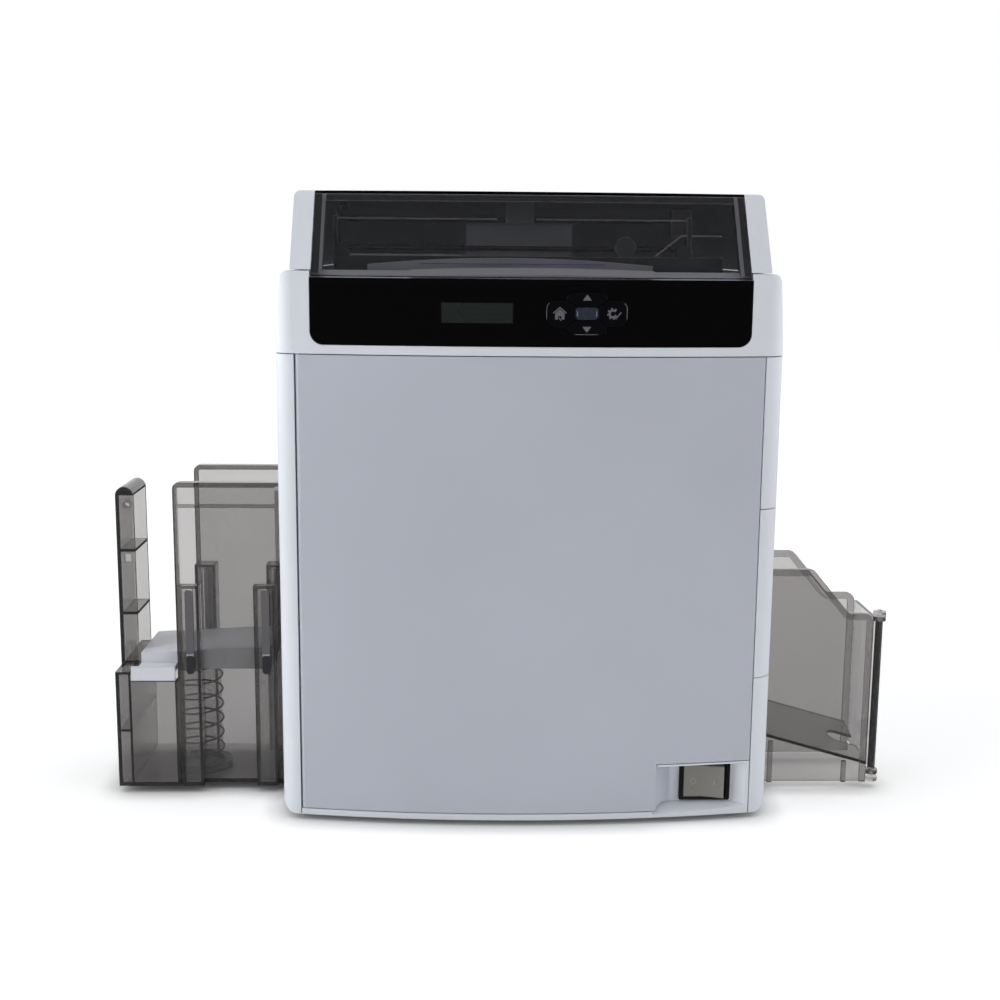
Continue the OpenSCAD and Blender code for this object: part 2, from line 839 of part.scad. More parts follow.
module front_door() {
  color("gainsboro") at_body() difference() {
    union() {
      difference() {
        door_block(0);
        door_block(wall);
        linear_extrude(big) plan(door_return);
      }
      difference() {
        intersection() {
          door_block(wall / 2);
          union() {
            for (z = ribs_z) span(hinge_x, door_x - wall / 2, -big, big, z, z + rib_t);
            for (x = ribs_x) span(x, x + rib_t, -big, big, door_z0 + 1, door_z1 - 1);
          }
        }
        linear_extrude(big) plan(rib_d);
      }
      door_scoop();
      door_pin_at(door_z0) cylinder(r = hinge_r, h = door_z1 - door_z0);
    }
    door_pin_at(door_z0 - 1) cylinder(r = pin_r + pin_fit, h = pin_len + 2);
    door_pin_at(door_z1 - pin_len - 1) cylinder(r = pin_r + pin_fit, h = pin_len + 2);
  }
}

module door_pins() {
  color("silver") at_body() {
    door_pin_at(foot_h + 1.4) cylinder(r = pin_r, h = door_z0 + pin_len - foot_h - 1.4);
    door_pin_at(door_z1 - pin_len) cylinder(r = pin_r, h = shell_z0 + wall + 1 - door_z1 + pin_len);
  }
}

module door_catch() {
  y0 = front_y(door_x) + door_return;
  color("dimgray") at_body() difference() {
    span(edge_x - catch_d, edge_x, y0 + seam, corner_y + 1.5, catch_z, catch_z + catch_l);
    span(edge_x - catch_d + 2, edge_x - 2, y0, y0 + 2, catch_z + 3, catch_z + catch_l - 3);
  }
}

// ---- power switch ----

rocker_y = recess_y + 1.5;
rocker_room = 0.8;
bezel_t = 2;
switch_depth = 20;
tab_l = 7;
crest = 3.2;

module switch_bezel() {
  color("black") at_body() difference() {
    union() {
      translate([switch_x, 0, switch_z]) along_y(recess_y - bezel_t, recess_y) round_rect(bezel_w, bezel_h, 1.2);
      span(switch_x - rocker_w / 2 - 1.9, switch_x + rocker_w / 2 + 1.9, recess_y - tiny, recess_y + switch_depth,
           switch_z - rocker_h / 2 - 1.1, switch_z + rocker_h / 2 + 1.1);
      for (x = [-8, 0, 8]) translate([switch_x + x, 0, switch_z])
        along_y(recess_y + switch_depth - tiny, recess_y + switch_depth + tab_l) square([0.8, 6], center = true);
    }
    span(switch_x - rocker_w / 2 - rocker_room, switch_x + rocker_w / 2 + rocker_room, recess_y - bezel_t - 1,
         recess_y + switch_depth - 3, switch_z - rocker_h / 2 - 0.3, switch_z + rocker_h / 2 + 0.3);
    translate([switch_x, rocker_y, switch_z - rocker_h / 2 - 1]) cylinder(r = pin_r + pin_fit, h = rocker_h + 2);
  }
}

module power_rocker() {
  lift = rocker_w / 2 * tan(rocker_tilt);
  color("darkgray") at_body() translate([switch_x, rocker_y, switch_z]) {
    rotate([0, 0, -rocker_tilt]) translate([0, 0, -rocker_h / 2]) linear_extrude(rocker_h) polygon([
      [-rocker_w / 2, -crest - lift], [0, -crest], [rocker_w / 2, -crest - lift],
      [rocker_w / 2 - 1, 3], [5, 7], [-5, 7], [-rocker_w / 2 + 1, 3]
    ]);
    translate([0, 0, -rocker_h / 2 - 0.9]) cylinder(r = pin_r, h = rocker_h + 1.8);
  }
}

// ---- top cover ----

lean_r = bow_r / cos(cover_lean);
below = 30;
strip_d = 12;
liner_gap = 0.15;
liner_t = 1.8;
liner_w = 7;
rib_reach = 9;

module lean_frame() {
  translate([0, front_edge, panel_z1]) rotate([-cover_lean, 0, 0]) children();
}

// Everything behind the cover's bowed, sloping front, inset by t.
module lean_block(t) {
  lean_frame() translate([0, lean_r, -60]) cylinder(r = lean_r - t, h = 420, $fn = 600);
}

module cover_block(t, z0) {
  intersection() {
    lean_block(t);
    translate([0, 0, (cover_z1 - t + z0) / 2 - below]) along_y(-below, cover_d - t)
      round_rect(2 * (cover_x - t), cover_z1 - t - z0 + 2 * below, cover_r);
    span(-half_w, half_w, -below, body_d, z0, big);
  }
}

wrap_y = front_edge + (cover_z1 - panel_z1) * tan(cover_lean) + window_wrap + front_bow;

module top_cover_frame() {
  color("whitesmoke") at_body() {
    difference() {
      union() {
        difference() {
          cover_block(0, cover_z0);
          cover_block(wall, cover_z0 - 1);
        }
        intersection() {
          difference() {
            cover_block(0, cover_z0);
            lean_block(strip_d);
          }
          both() span(window_x + liner_gap, window_x + liner_gap + wall, -below, big, 0, big);
        }
      }
      span(-window_x - liner_gap, window_x + liner_gap, -below, wrap_y + liner_gap, 0, big);
      both() span(ear_x - seam, ear_x + ear_t + seam, pivot_y - ear_r - 2, body_d, 0, pivot_z + ear_r + 2);
      difference() {
        span(-half_w, half_w, pivot_y, body_d, cover_z0 - 1, pivot_z);
        rod_x(pivot_y, pivot_z, cover_bead_r, -half_w, half_w);
      }
    }
    both() rod_x(pivot_y, pivot_z, cover_pin_r, ear_x - seam, cover_x - wall + tiny);
  }
}

module top_cover_window() {
  color("dimgray", 0.5) at_body() intersection() {
    difference() {
      cover_block(0, window_z0);
      cover_block(wall, window_z0 - 1);
    }
    span(-window_x, window_x, -below, wrap_y, 0, big);
  }
}

module cover_liner() {
  color("black") at_body() {
    difference() {
      intersection() {
        difference() {
          cover_block(wall + liner_gap, window_z0 + 1);
          cover_block(wall + liner_gap + liner_t, window_z0);
        }
        span(-window_x + liner_gap, window_x - liner_gap, -below, wrap_y, 0, big);
      }
      intersection() {
        span(-window_x + liner_w, window_x - liner_w, -below, big, 0, cover_z1 - liner_w);
        lean_block(0);
      }
    }
    both() intersection() {
      difference() {
        cover_block(wall + liner_gap, cover_z0 + seam);
        lean_block(rib_reach);
      }
      span(window_x - liner_w, window_x - liner_w + liner_t, -below, wrap_y, 0, cover_z1 - liner_w);
    }
  }
}

module cover_grip() {
  color("gainsboro") at_body() intersection() {
    lean_frame() translate([0, 0, grip_rise]) linear_extrude(grip_h) difference() {
      intersection() {
        translate([0, lean_r]) circle(r = lean_r - wall - liner_gap, $fn = 600);
        translate([-grip_x, 0]) square([2 * grip_x, 20]);
      }
      translate([0, lean_r]) circle(r = lean_r - wall - liner_gap - grip_t, $fn = 600);
    }
    span(-big, big, -below, big, window_z0, big);
  }
}

// ---- chassis and rollers ----

card_t = 0.76;
nip = 0.3;
high_z = card_z + card_t / 2 + nip;
low_z = card_z - card_t / 2 - nip;
pick_x = -half_w + 17;
feed_x = -half_w + 65;
transfer_x = half_w - 47;
exit_x = half_w - 17;
platen_x = -10;
platen_z = seam_h - 43;
motor_x = 24;
motor_z = card_z - 55;
motor_w = 42;
motor_l = 40;
plate_x = half_w - 8;
plate_flange = 14;
bearing_h = card_z + 46;
cut_pitch = plate_x / 3;
chassis_h = film_z + 28;
pulley_r = 10;
motor_pulley_r = 8;
pulley_y = chassis_y + chassis_t + 3;
pulley_w = 6;
belt_t = 1.4;
bush_t = 2;
bush_lip = 1.5;
column_w = 40;
// Rollers as [x, z]: pick, feed, transfer, pressure, exit, platen.
pick_at = [pick_x, high_z + roller_r];
feed_at = [feed_x, low_z - roller_r];
transfer_at = [transfer_x, high_z + transfer_r];
pressure_at = [transfer_x, low_z - roller_r];
exit_at = [exit_x, low_z - roller_r];
platen_at = [platen_x, platen_z];
motor_at = [motor_x, motor_z];
rollers = [pick_at, feed_at, transfer_at, pressure_at, exit_at, platen_at];
ribbon_at = [for (s = [-1, 1]) [s * ribbon_span / 2, ribbon_z]];
film_at = [for (s = [-1, 1]) [s * film_span / 2, film_z]];
cheek_y0 = 46;
cheek_t = 3;
cheek_y1 = chassis_y - seam - cheek_t;
stub_r = 4;

module plate_hole(y, p, r) {
  rod_y(p[0], p[1], r, y - 1, y + chassis_t + 1);
}

module plate_window(y, p, w, h) {
  translate([p[0], 0, p[1]]) along_y(y - 1, y + chassis_t + 1) round_rect(w, h, 6);
}

module chassis_plate() {
  color("silver") at_body() difference() {
    union() {
      span(-plate_x, plate_x, chassis_y, chassis_y + chassis_t, floor_z1, chassis_h);
      span(-plate_x + 8, plate_x - 8, chassis_y, chassis_y + plate_flange, floor_z1, floor_z1 + chassis_t);
    }
    for (p = rollers) plate_hole(chassis_y, p, shaft_r + bush_t + hole_room);
    for (p = concat(ribbon_at, film_at)) plate_hole(chassis_y, p, stub_r + 1);
    plate_hole(chassis_y, motor_at, motor_w / 4 + 0.5);
    for (x = [-2, 1.8]) plate_window(chassis_y, [x * cut_pitch, 60], 58, 56);
    for (x = [-2.3, 0]) plate_window(chassis_y, [x * cut_pitch, seam_h - 101], 44, 30);
  }
}

module bearing_plate() {
  color("silver") at_body() difference() {
    union() {
      span(-plate_x, plate_x, bearing_y, bearing_y + chassis_t, floor_z1, bearing_h);
      span(platen_x - column_w / 2, platen_x + column_w / 2, bearing_y, bearing_y + chassis_t,
           floor_z1, platen_z + 16);
      span(-plate_x + 8, plate_x - 8, bearing_y + chassis_t - plate_flange, bearing_y + chassis_t,
           floor_z1, floor_z1 + chassis_t);
    }
    for (p = rollers) plate_hole(bearing_y, p, shaft_r + bush_t + hole_room);
    for (i = [-2:2]) plate_window(bearing_y, [i * cut_pitch, 62], 34, 70);
  }
}

module bush(x, z, y0, lip_y) {
  difference() {
    union() {
      rod_y(x, z, shaft_r + bush_t, y0, y0 + chassis_t);
      rod_y(x, z, shaft_r + 2 * bush_t, lip_y, lip_y + bush_lip);
    }
    rod_y(x, z, shaft_r + shaft_fit, y0 - 5, y0 + 5);
  }
}

module roller_bushes() {
  color("peru") at_body() for (p = rollers) {
    bush(p[0], p[1], bearing_y, bearing_y - bush_lip);
    bush(p[0], p[1], chassis_y, chassis_y + chassis_t);
  }
}

// Shaft with a rubber sleeve, axis along Y.
module roller(p, r, back) {
  rod_y(p[0], p[1], shaft_r, bearing_y - 3, back);
  rod_y(p[0], p[1], r, card_y - card_w / 2, card_y + card_w / 2);
  for (y = [card_y - card_w / 2 - 2, card_y + card_w / 2]) rod_y(p[0], p[1], shaft_r + 2, y, y + 2);
}

module pulley(p, r) {
  rod_y(p[0], p[1], r, pulley_y, pulley_y + pulley_w);
  for (y = [pulley_y - 1, pulley_y + pulley_w]) rod_y(p[0], p[1], r + 1.2, y, y + 1);
}

module pick_roller() {
  color("dimgray") at_body() roller(pick_at, roller_r, chassis_y + 5);
}

module feed_roller() {
  color("dimgray") at_body() {
    roller(feed_at, roller_r, pulley_y + pulley_w + 2);
    pulley(feed_at, pulley_r);
  }
}

module transfer_roller() {
  color("firebrick") at_body() roller(transfer_at, transfer_r, chassis_y + 5);
}

module pressure_roller() {
  color("dimgray") at_body() {
    roller(pressure_at, roller_r, pulley_y + pulley_w + 2);
    pulley(pressure_at, pulley_r);
  }
}

module exit_roller() {
  color("dimgray") at_body() {
    roller(exit_at, roller_r, pulley_y + pulley_w + 2);
    pulley(exit_at, pulley_r);
  }
}

module platen_roller() {
  color("dimgray") at_body() roller(platen_at, platen_r, chassis_y + 5);
}

module motor_pulley() {
  color("silver") at_body() {
    rod_y(motor_x, motor_z, shaft_r - 0.5, chassis_y - 10, pulley_y + pulley_w + 2);
    pulley(motor_at, motor_pulley_r);
  }
}

module drive_motor() {
  color("dimgray") at_body() difference() {
    union() {
      translate([motor_x, 0, motor_z]) along_y(chassis_y - motor_l, chassis_y) round_rect(motor_w, motor_w, 4);
      rod_y(motor_x, motor_z, motor_w / 4, chassis_y - 1, chassis_y + chassis_t);
    }
    rod_y(motor_x, motor_z, shaft_r - 0.5 + shaft_fit, chassis_y - 12, big);
  }
}

module belt_outline(grow) {
  hull() for (p = [[feed_at, pulley_r], [exit_at, pulley_r], [motor_at, motor_pulley_r]])
    translate(p[0]) circle(r = p[1] + grow);
}

module drive_belt() {
  color("black") at_body() along_y(pulley_y + 0.5, pulley_y + pulley_w - 0.5) difference() {
    belt_outline(nip + belt_t);
    belt_outline(nip);
  }
}

// ---- ribbon and film ----

roll_y0 = card_y - web_w / 2;
roll_y1 = card_y + web_w / 2;
ribbon_roll = 16;
film_roll = 20;
empty_roll = 11;
web_t = 0.3;

// Spool with its wound roll; the stub reaches back into its drive.
module spool(p, flange_r, roll_r) {
  rod_y(p[0], p[1], core_r, roll_y0 - 2.5, roll_y1 + 2.5);
  rod_y(p[0], p[1], roll_r, roll_y0, roll_y1);
  for (y = [roll_y0 - 2.5, roll_y1 + 1]) difference() {
    rod_y(p[0], p[1], flange_r, y, y + 1.5);
    for (a = [30:60:330]) translate([p[0], 0, p[1]]) rotate([0, a, 0])
      rod_y((flange_r + roll_r) / 2, 0, 1.6, y - 1, y + 3);
  }
  rod_y(p[0], p[1], stub_r, cheek_y0 - 1, chassis_y + chassis_t + 6);
}

module ribbon_supply_spool() {
  color("steelblue") at_body() spool(ribbon_at[0], ribbon_r, ribbon_roll);
}

module ribbon_takeup_spool() {
  color("steelblue") at_body() spool(ribbon_at[1], ribbon_r, empty_roll);
}

module film_supply_spool() {
  color("mediumpurple") at_body() spool(film_at[0], film_r, film_roll);
}

module film_takeup_spool() {
  color("mediumpurple") at_body() spool(film_at[1], film_r, empty_roll);
}

// Thin web through a row of [x, z] points.
module web(points, t) {
  last = len(points) - 1;
  way = [for (i = [0:last]) points[min(i + 1, last)] - points[max(i - 1, 0)]];
  off = [for (w = way) t / 2 / norm(w) * [-w[1], w[0]]];
  along_y(roll_y0, roll_y1) polygon(concat(
    [for (i = [0:last]) points[i] + off[i]],
    [for (i = [last:-1:0]) points[i] - off[i]]
  ));
}

function arc(c, r, a0, a1, n) = [for (i = [0:n]) let (a = a0 + (a1 - a0) * i / n) c + r * [cos(a), sin(a)]];

bar_r = 2.5;
web_gap = 0.4;
film_bars = [
  [transfer_x - transfer_r - bar_r - 1, platen_z + 3],
  [transfer_x + transfer_r - bar_r, seam_h - 22]
];

module ribbon_web() {
  color("goldenrod") at_body() web(concat(
    arc(ribbon_at[0], ribbon_roll + web_gap, 70, 66, 1),
    arc(platen_at, platen_r + web_gap + 4 * web_t, 250, 290, 4),
    arc(ribbon_at[1], empty_roll + web_gap, 100, 96, 1)
  ), web_t);
}

module film_web() {
  color("rebeccapurple") at_body() web(concat(
    arc(film_at[0], film_roll + web_gap, 262, 268, 1),
    arc(platen_at, platen_r + web_gap, 228, 278, 5),
    arc(film_bars[0], bar_r + web_gap, 100, 0, 4),
    arc(transfer_at, transfer_r + web_gap, 180, 360, 14),
    arc(film_bars[1], bar_r + web_gap, 0, 45, 2),
    arc(film_at[1], empty_roll + web_gap, 316, 320, 1)
  ), web_t);
}

module cheek(y, points, r) {
  difference() {
    children();
    for (p = points) rod_y(p[0], p[1], r, y - 1, y + cheek_t + 1);
  }
}

ribbon_bars = [for (s = [-1, 1]) [s * (ribbon_span / 2 - ribbon_r - 6), ribbon_z - 12]];
handle_w = 60;
handle_h = 14;

module ribbon_cassette() {
  color("gainsboro") at_body() {
    for (y = [cheek_y0, cheek_y1]) cheek(y, ribbon_at, stub_r + shaft_fit) {
      for (p = ribbon_at) rod_y(p[0], p[1], ribbon_r + 3, y, y + cheek_t);
      span(ribbon_at[0][0], ribbon_at[1][0], y, y + cheek_t, ribbon_z - 22, ribbon_z - 2);
    }
    for (p = ribbon_bars) rod_y(p[0], p[1], bar_r, cheek_y0 + 1, cheek_y1 + 1);
    difference() {
      translate([0, 0, ribbon_z - 12]) along_y(cheek_y0 - handle_h, cheek_y0) round_rect(handle_w, handle_h, 4);
      translate([0, 0, ribbon_z - 12]) along_y(cheek_y0 - 9, cheek_y0) square([handle_w - 10, 20], center = true);
    }
  }
}

rail_z = ledge_z + 32;
rail_r = 1.6;
rail_x0 = -film_span / 2 - film_r - 4;
rail_x1 = -rail_x0 - 21;
arch_x = -13;
arch_half = 89;
arch_r = 900;
arch_y = 14;
arch_d = 6;
latch_x = -6;
latch_w = 18;
shield_w = 69;

// Front parts of the film cassette that show through the window.
module cassette_front() {
  // Arched bar and its arms.
  intersection() {
    translate([arch_x, 0, ledge_z + 8 - arch_r]) rod_y(0, 0, arch_r, arch_y, arch_y + arch_d);
    span(arch_x - arch_half, arch_x + arch_half, arch_y, arch_y + arch_d, ledge_z - 8, big);
  }
  for (x = [arch_x - arch_half + 6, arch_x + arch_half - 16])
    span(x, x + 10, arch_y + arch_d - 1, cheek_y0 + 1, ledge_z - 6, ledge_z + 2);
  // End posts and rails.
  for (x = [rail_x0, rail_x1 - 3]) span(x, x + 3, cheek_y0, cheek_y0 + 16, ledge_z + 8, rail_z + 2);
  rod_x(cheek_y0 + 6, rail_z, rail_r, rail_x0 + 1, rail_x1 - 1);
  rod_x(cheek_y0 + 12, ledge_z + 14, rail_r, rail_x0 + 1, rail_x1 - 1);
  // Hook on the left post and block on the right one.
  rod_x(cheek_y0 + 8, rail_z + 8, 2.6, rail_x0 + 3, rail_x0 + 10);
  span(rail_x0 + 2, rail_x0 + 5, cheek_y0 + 2, cheek_y0 + 14, rail_z, rail_z + 8);
  span(rail_x1 - 13, rail_x1, cheek_y0 + 2, cheek_y0 + 12, rail_z - 10, rail_z + 7);
  // Shield, latch and round boss.
  span(latch_x - shield_w / 2, latch_x + shield_w / 2, cheek_y0 + 13, cheek_y0 + 15, ledge_z + 8, rail_z - 1);
  span(latch_x - latch_w / 2, latch_x + latch_w / 2, cheek_y0 + 3, cheek_y0 + 15, rail_z - 2, rail_z + 13);
  rod_y(rail_x1 - 42, ledge_z + 15, 7, cheek_y0 + 4, cheek_y0 + 16);
}

module film_cassette() {
  color("gainsboro") at_body() {
    for (y = [cheek_y0, cheek_y1]) cheek(y, film_at, stub_r + shaft_fit) {
      for (p = film_at) rod_y(p[0], p[1], film_r + 3, y, y + cheek_t);
      span(rail_x0, -rail_x0, y, y + cheek_t, film_z + 10, ledge_z + 9);
      for (p = film_bars) rod_y(p[0], p[1], 2 * bar_r, y, y + cheek_t);
      along_y(y, y + cheek_t) {
        polygon([
          film_bars[0] + [-3, 0], film_bars[0] + [3, 0], film_at[1] + [3, 0], film_at[1] + [-6, 0]
        ]);
        polygon([
          film_bars[1] + [-3, -3], film_bars[1] + [3, 3], film_at[1] + [8, 8], film_at[1] + [-8, -8]
        ]);
      }
    }
    for (p = film_bars) rod_y(p[0], p[1], bar_r, cheek_y0 + 1, cheek_y1 + 1);
    cassette_front();
  }
}

head_w = 24;
head_h = 11;
fin_h = 12;
head_gap = 0.1;

module print_head() {
  color("dimgray") at_body() {
    top = platen_z - platen_r - 2;
    span(platen_x - head_w / 2, platen_x + head_w / 2, roll_y0, roll_y1, top - 3 - head_h, top - 3);
    along_y(roll_y0, roll_y1) polygon([
      [platen_x - head_w / 3, top - 3 - tiny], [platen_x + head_w / 3, top - 3 - tiny],
      [platen_x + 2, top + head_gap], [platen_x - 2, top + head_gap]
    ]);
    for (i = [-2:2]) translate([platen_x + i * 5.5, 0, 0])
      span(-0.8, 0.8, roll_y0 + 2, roll_y1 - 2, top - 3 - head_h - fin_h, top - 3 - head_h + tiny);
    span(platen_x - 6, platen_x + 6, roll_y1 - 1, chassis_y, top - 12, top - 4);
  }
}

gear_w = 32;
gear_t = 10;
can_r = 12;
can_l = 25;

module spool_motors() {
  y = chassis_y + chassis_t;
  color("dimgray") at_body() for (p = concat(ribbon_at, film_at)) difference() {
    union() {
      translate([p[0], 0, p[1]]) along_y(y, y + gear_t) round_rect(gear_w, gear_w, 4);
      rod_y(p[0], p[1], can_r, y + gear_t - 1, y + gear_t + can_l - 1);
    }
    rod_y(p[0], p[1], stub_r + shaft_fit, y - 2, y + gear_t - 3);
  }
}

// ---- electronics and rear ----

main_z = ports_z - lan_h / 2 - board_t;
main_top = main_z + board_t;
main_x0 = ports_x - 30;
main_x1 = ports_x + 100;
main_y1 = body_d - wall - 4;
main_y0 = main_y1 - 143;
port_depth = 16;

// A part on the main board, placed from the board's front left corner.
module chip(x, y, w, d, h) {
  translate([main_x0 + x, main_y0 + y, main_top - tiny]) cube([w, d, h + tiny]);
}

module main_board() {
  color("darkgreen") at_body() {
    span(main_x0, main_x1, main_y0, main_y1, main_z, main_top);
    for (x = [main_x0 + 6, main_x1 - 6], y = [main_y0 + 6, main_y1 - 6])
      translate([x, y, floor_z1]) cylinder(r = 3, h = main_z - floor_z1 + tiny);
    chip(40, 30, 30, 30, 3);
    for (i = [0:3]) chip(84 + 12 * i, 10, 8, 22, 2);
    for (x = [12, 26]) translate([main_x0 + x, main_y0 + 20, main_top - tiny]) cylinder(r = 5, h = 14);
    chip(80, 70, 36, 8, 8);
  }
}

module port(x, w, h) {
  y0 = body_d - wall - port_depth;
  difference() {
    span(x - w / 2, x + w / 2, y0, body_d - 0.4, ports_z - h / 2, ports_z + h / 2);
    span(x - w / 2 + 1, x + w / 2 - 1, y0 + 2, body_d, ports_z - h / 2 + 1, ports_z + h / 2 - 1);
  }
  span(x - w / 2 + 2, x + w / 2 - 2, y0 + 2 - tiny, body_d - 5, ports_z + h / 2 - 4, ports_z + h / 2 - 3);
  span(x - w / 2, x + w / 2, y0, y0 + 8, main_top, ports_z - h / 2 + tiny);
}

module data_ports() {
  color("silver") at_body() {
    port(ports_x, usb_w, usb_h);
    port(ports_x + port_gap, lan_w, lan_h);
  }
}

supply_x0 = -half_w + 22;
supply_w = 86;
supply_y0 = body_d - 160;
supply_d = 126;
supply_h = 44;

module power_supply() {
  color("lightgray") at_body() difference() {
    span(supply_x0, supply_x0 + supply_w, supply_y0, supply_y0 + supply_d, floor_z1, floor_z1 + supply_h);
    for (i = [0:10]) translate([supply_x0, supply_y0 + 14 + 9 * i, 0])
      span(18, supply_w - 18, 0, 4, floor_z1 + supply_h - 1.2, big);
  }
}

module power_inlet() {
  color("black") at_body() difference() {
    union() {
      translate([inlet_x, 0, inlet_z]) along_y(body_d, body_d + 1.2) round_rect(inlet_w + 5, inlet_h + 5, 2);
      translate([inlet_x, 0, inlet_z]) along_y(body_d - 24, body_d + tiny)
        square([inlet_w, inlet_h], center = true);
    }
    translate([inlet_x, 0, inlet_z]) along_y(body_d - 16, body_d + 2) polygon([
      [-12, -9], [12, -9], [12, 5], [8, 9], [-8, 9], [-12, 5]
    ]);
  }
  color("silver") at_body() for (p = [[-7, -2], [7, -2], [0, 3]])
    translate([inlet_x + p[0], 0, inlet_z + p[1]]) along_y(body_d - 17, body_d - 4) square([2, 5], center = true);
}

fan_t = 25;
fan_y1 = body_d - wall;
fan_y0 = fan_y1 - fan_t;
axle_r = 1.5;

module fan_housing() {
  color("black") at_body() difference() {
    union() {
      difference() {
        translate([fan_x, 0, fan_z]) along_y(fan_y0, fan_y1) round_rect(fan_size, fan_size, 4);
        rod_y(fan_x, fan_z, fan_size / 2 - 1.5, fan_y0 - 1, fan_y1 + 1);
      }
      rod_y(fan_x, fan_z, fan_hub_r + 1, fan_y0, fan_y0 + 2);
      rod_y(fan_x, fan_z, axle_r, fan_y0, fan_y1 - 4);
      for (a = [45:90:315]) translate([fan_x, 0, fan_z]) rotate([0, a, 0])
        span(fan_hub_r - 1, fan_size / 2 - 0.5, fan_y0, fan_y0 + 2, -1.5, 1.5);
    }
    for (p = fan_screws) rod_y(p[0], p[1], screw_r / 2 + hole_room, fan_y0 - 1, fan_y1 + 1);
  }
}

module fan_rotor() {
  color("black") at_body() difference() {
    union() {
      rod_y(fan_x, fan_z, fan_hub_r, fan_y0 + 3, fan_y1 - 2);
      for (a = [0:360 / 7:359]) translate([fan_x, (fan_y0 + fan_y1) / 2, fan_z]) rotate([0, a, 0])
        rotate([38, 0, 0]) translate([fan_hub_r - 2, -8.5, -0.7]) cube([fan_size / 2 - fan_hub_r - 1, 17, 1.4]);
    }
    rod_y(fan_x, fan_z, axle_r + shaft_fit, fan_y0, fan_y1 - 3.5);
  }
}

// ---- hopper ----

hop_x0 = -half_w - hopper_reach;
lift_gap = 13;
hop_x1 = -half_w - panel_reach;
panel_y0 = card_y - card_half - clear_t;
panel_y1 = card_y + card_half + rear_room + clear_t;
hop_y0 = panel_y0 - guide_d;
box_z1 = clear_z + box_h;
hop_z1 = clear_z + hopper_h;
lip_z0 = lift_z - 5.6;
lip_gap = 1;
column_x = 10;
column_t = 1.6;
column_z = clear_z + 38.5;
strut_w = 7.6;
strut_d = 3;
bead_z = hop_z1 - 15.4;
bead_t = 2;
guide_xs = [-half_w - guide_out, -half_w - guide_in];
slot_z0 = lift_z - 1.5;
slot_z1 = guide_top - 3.2;
rear_guide_y = card_y + card_half + 0.4;
spring_x = -half_w - lift_gap - lift_l / 2 - 8;
spring_r = spring_d / 2;
post_y0 = card_y - post_d / 2 + 2;
post_z1 = box_z1 + post_h;
eye_x = hop_x0 + 8;
eye_z = post_z1 - post_w;
eye_r = 3.6;
shelf_zs = [box_z1 + 36, box_z1 + 80];

module slot_2d(w, h) {
  square([w, h - w], center = true);
  for (s = [-1, 1]) translate([0, s * (h - w) / 2]) circle(d = w);
}

// Hollow lift guide on a panel, open at its back.
module lift_guide(x, y0, y1) {
  difference() {
    span(x - guide_w / 2, x + guide_w / 2, y0, y1, clear_z, guide_top);
    span(x - guide_w / 2 + clear_t, x + guide_w / 2 - clear_t, y0 + clear_t, y1 + 1,
         clear_z + clear_t, guide_top - clear_t);
  }
}

// Tall side panel of the hopper seen from the front, inset by t.
module tall_panel(t = 0) {
  translate([hop_x1 + t, clear_z]) square([panel_reach - t, hopper_h - rim_r]);
  translate([hop_x1 + rim_r, clear_z]) square([panel_reach - rim_r, hopper_h - t]);
  translate([hop_x1 + rim_r, hop_z1 - rim_r]) circle(r = rim_r - t);
}

// The rim that stands out from a tall panel's top and outer edge.
module tall_rim(y0, y1) {
  along_y(y0, y1) difference() {
    tall_panel();
    translate([0, -1]) tall_panel(rim_t);
    translate([-half_w - strut_w, 0]) square([strut_w + 1, hop_z1 - rim_t]);
  }
}

module lift_slot(x, y0, y1) {
  translate([x, 0, (slot_z0 + slot_z1) / 2]) along_y(y0, y1) slot_2d(slot_w, slot_z1 - slot_z0);
}

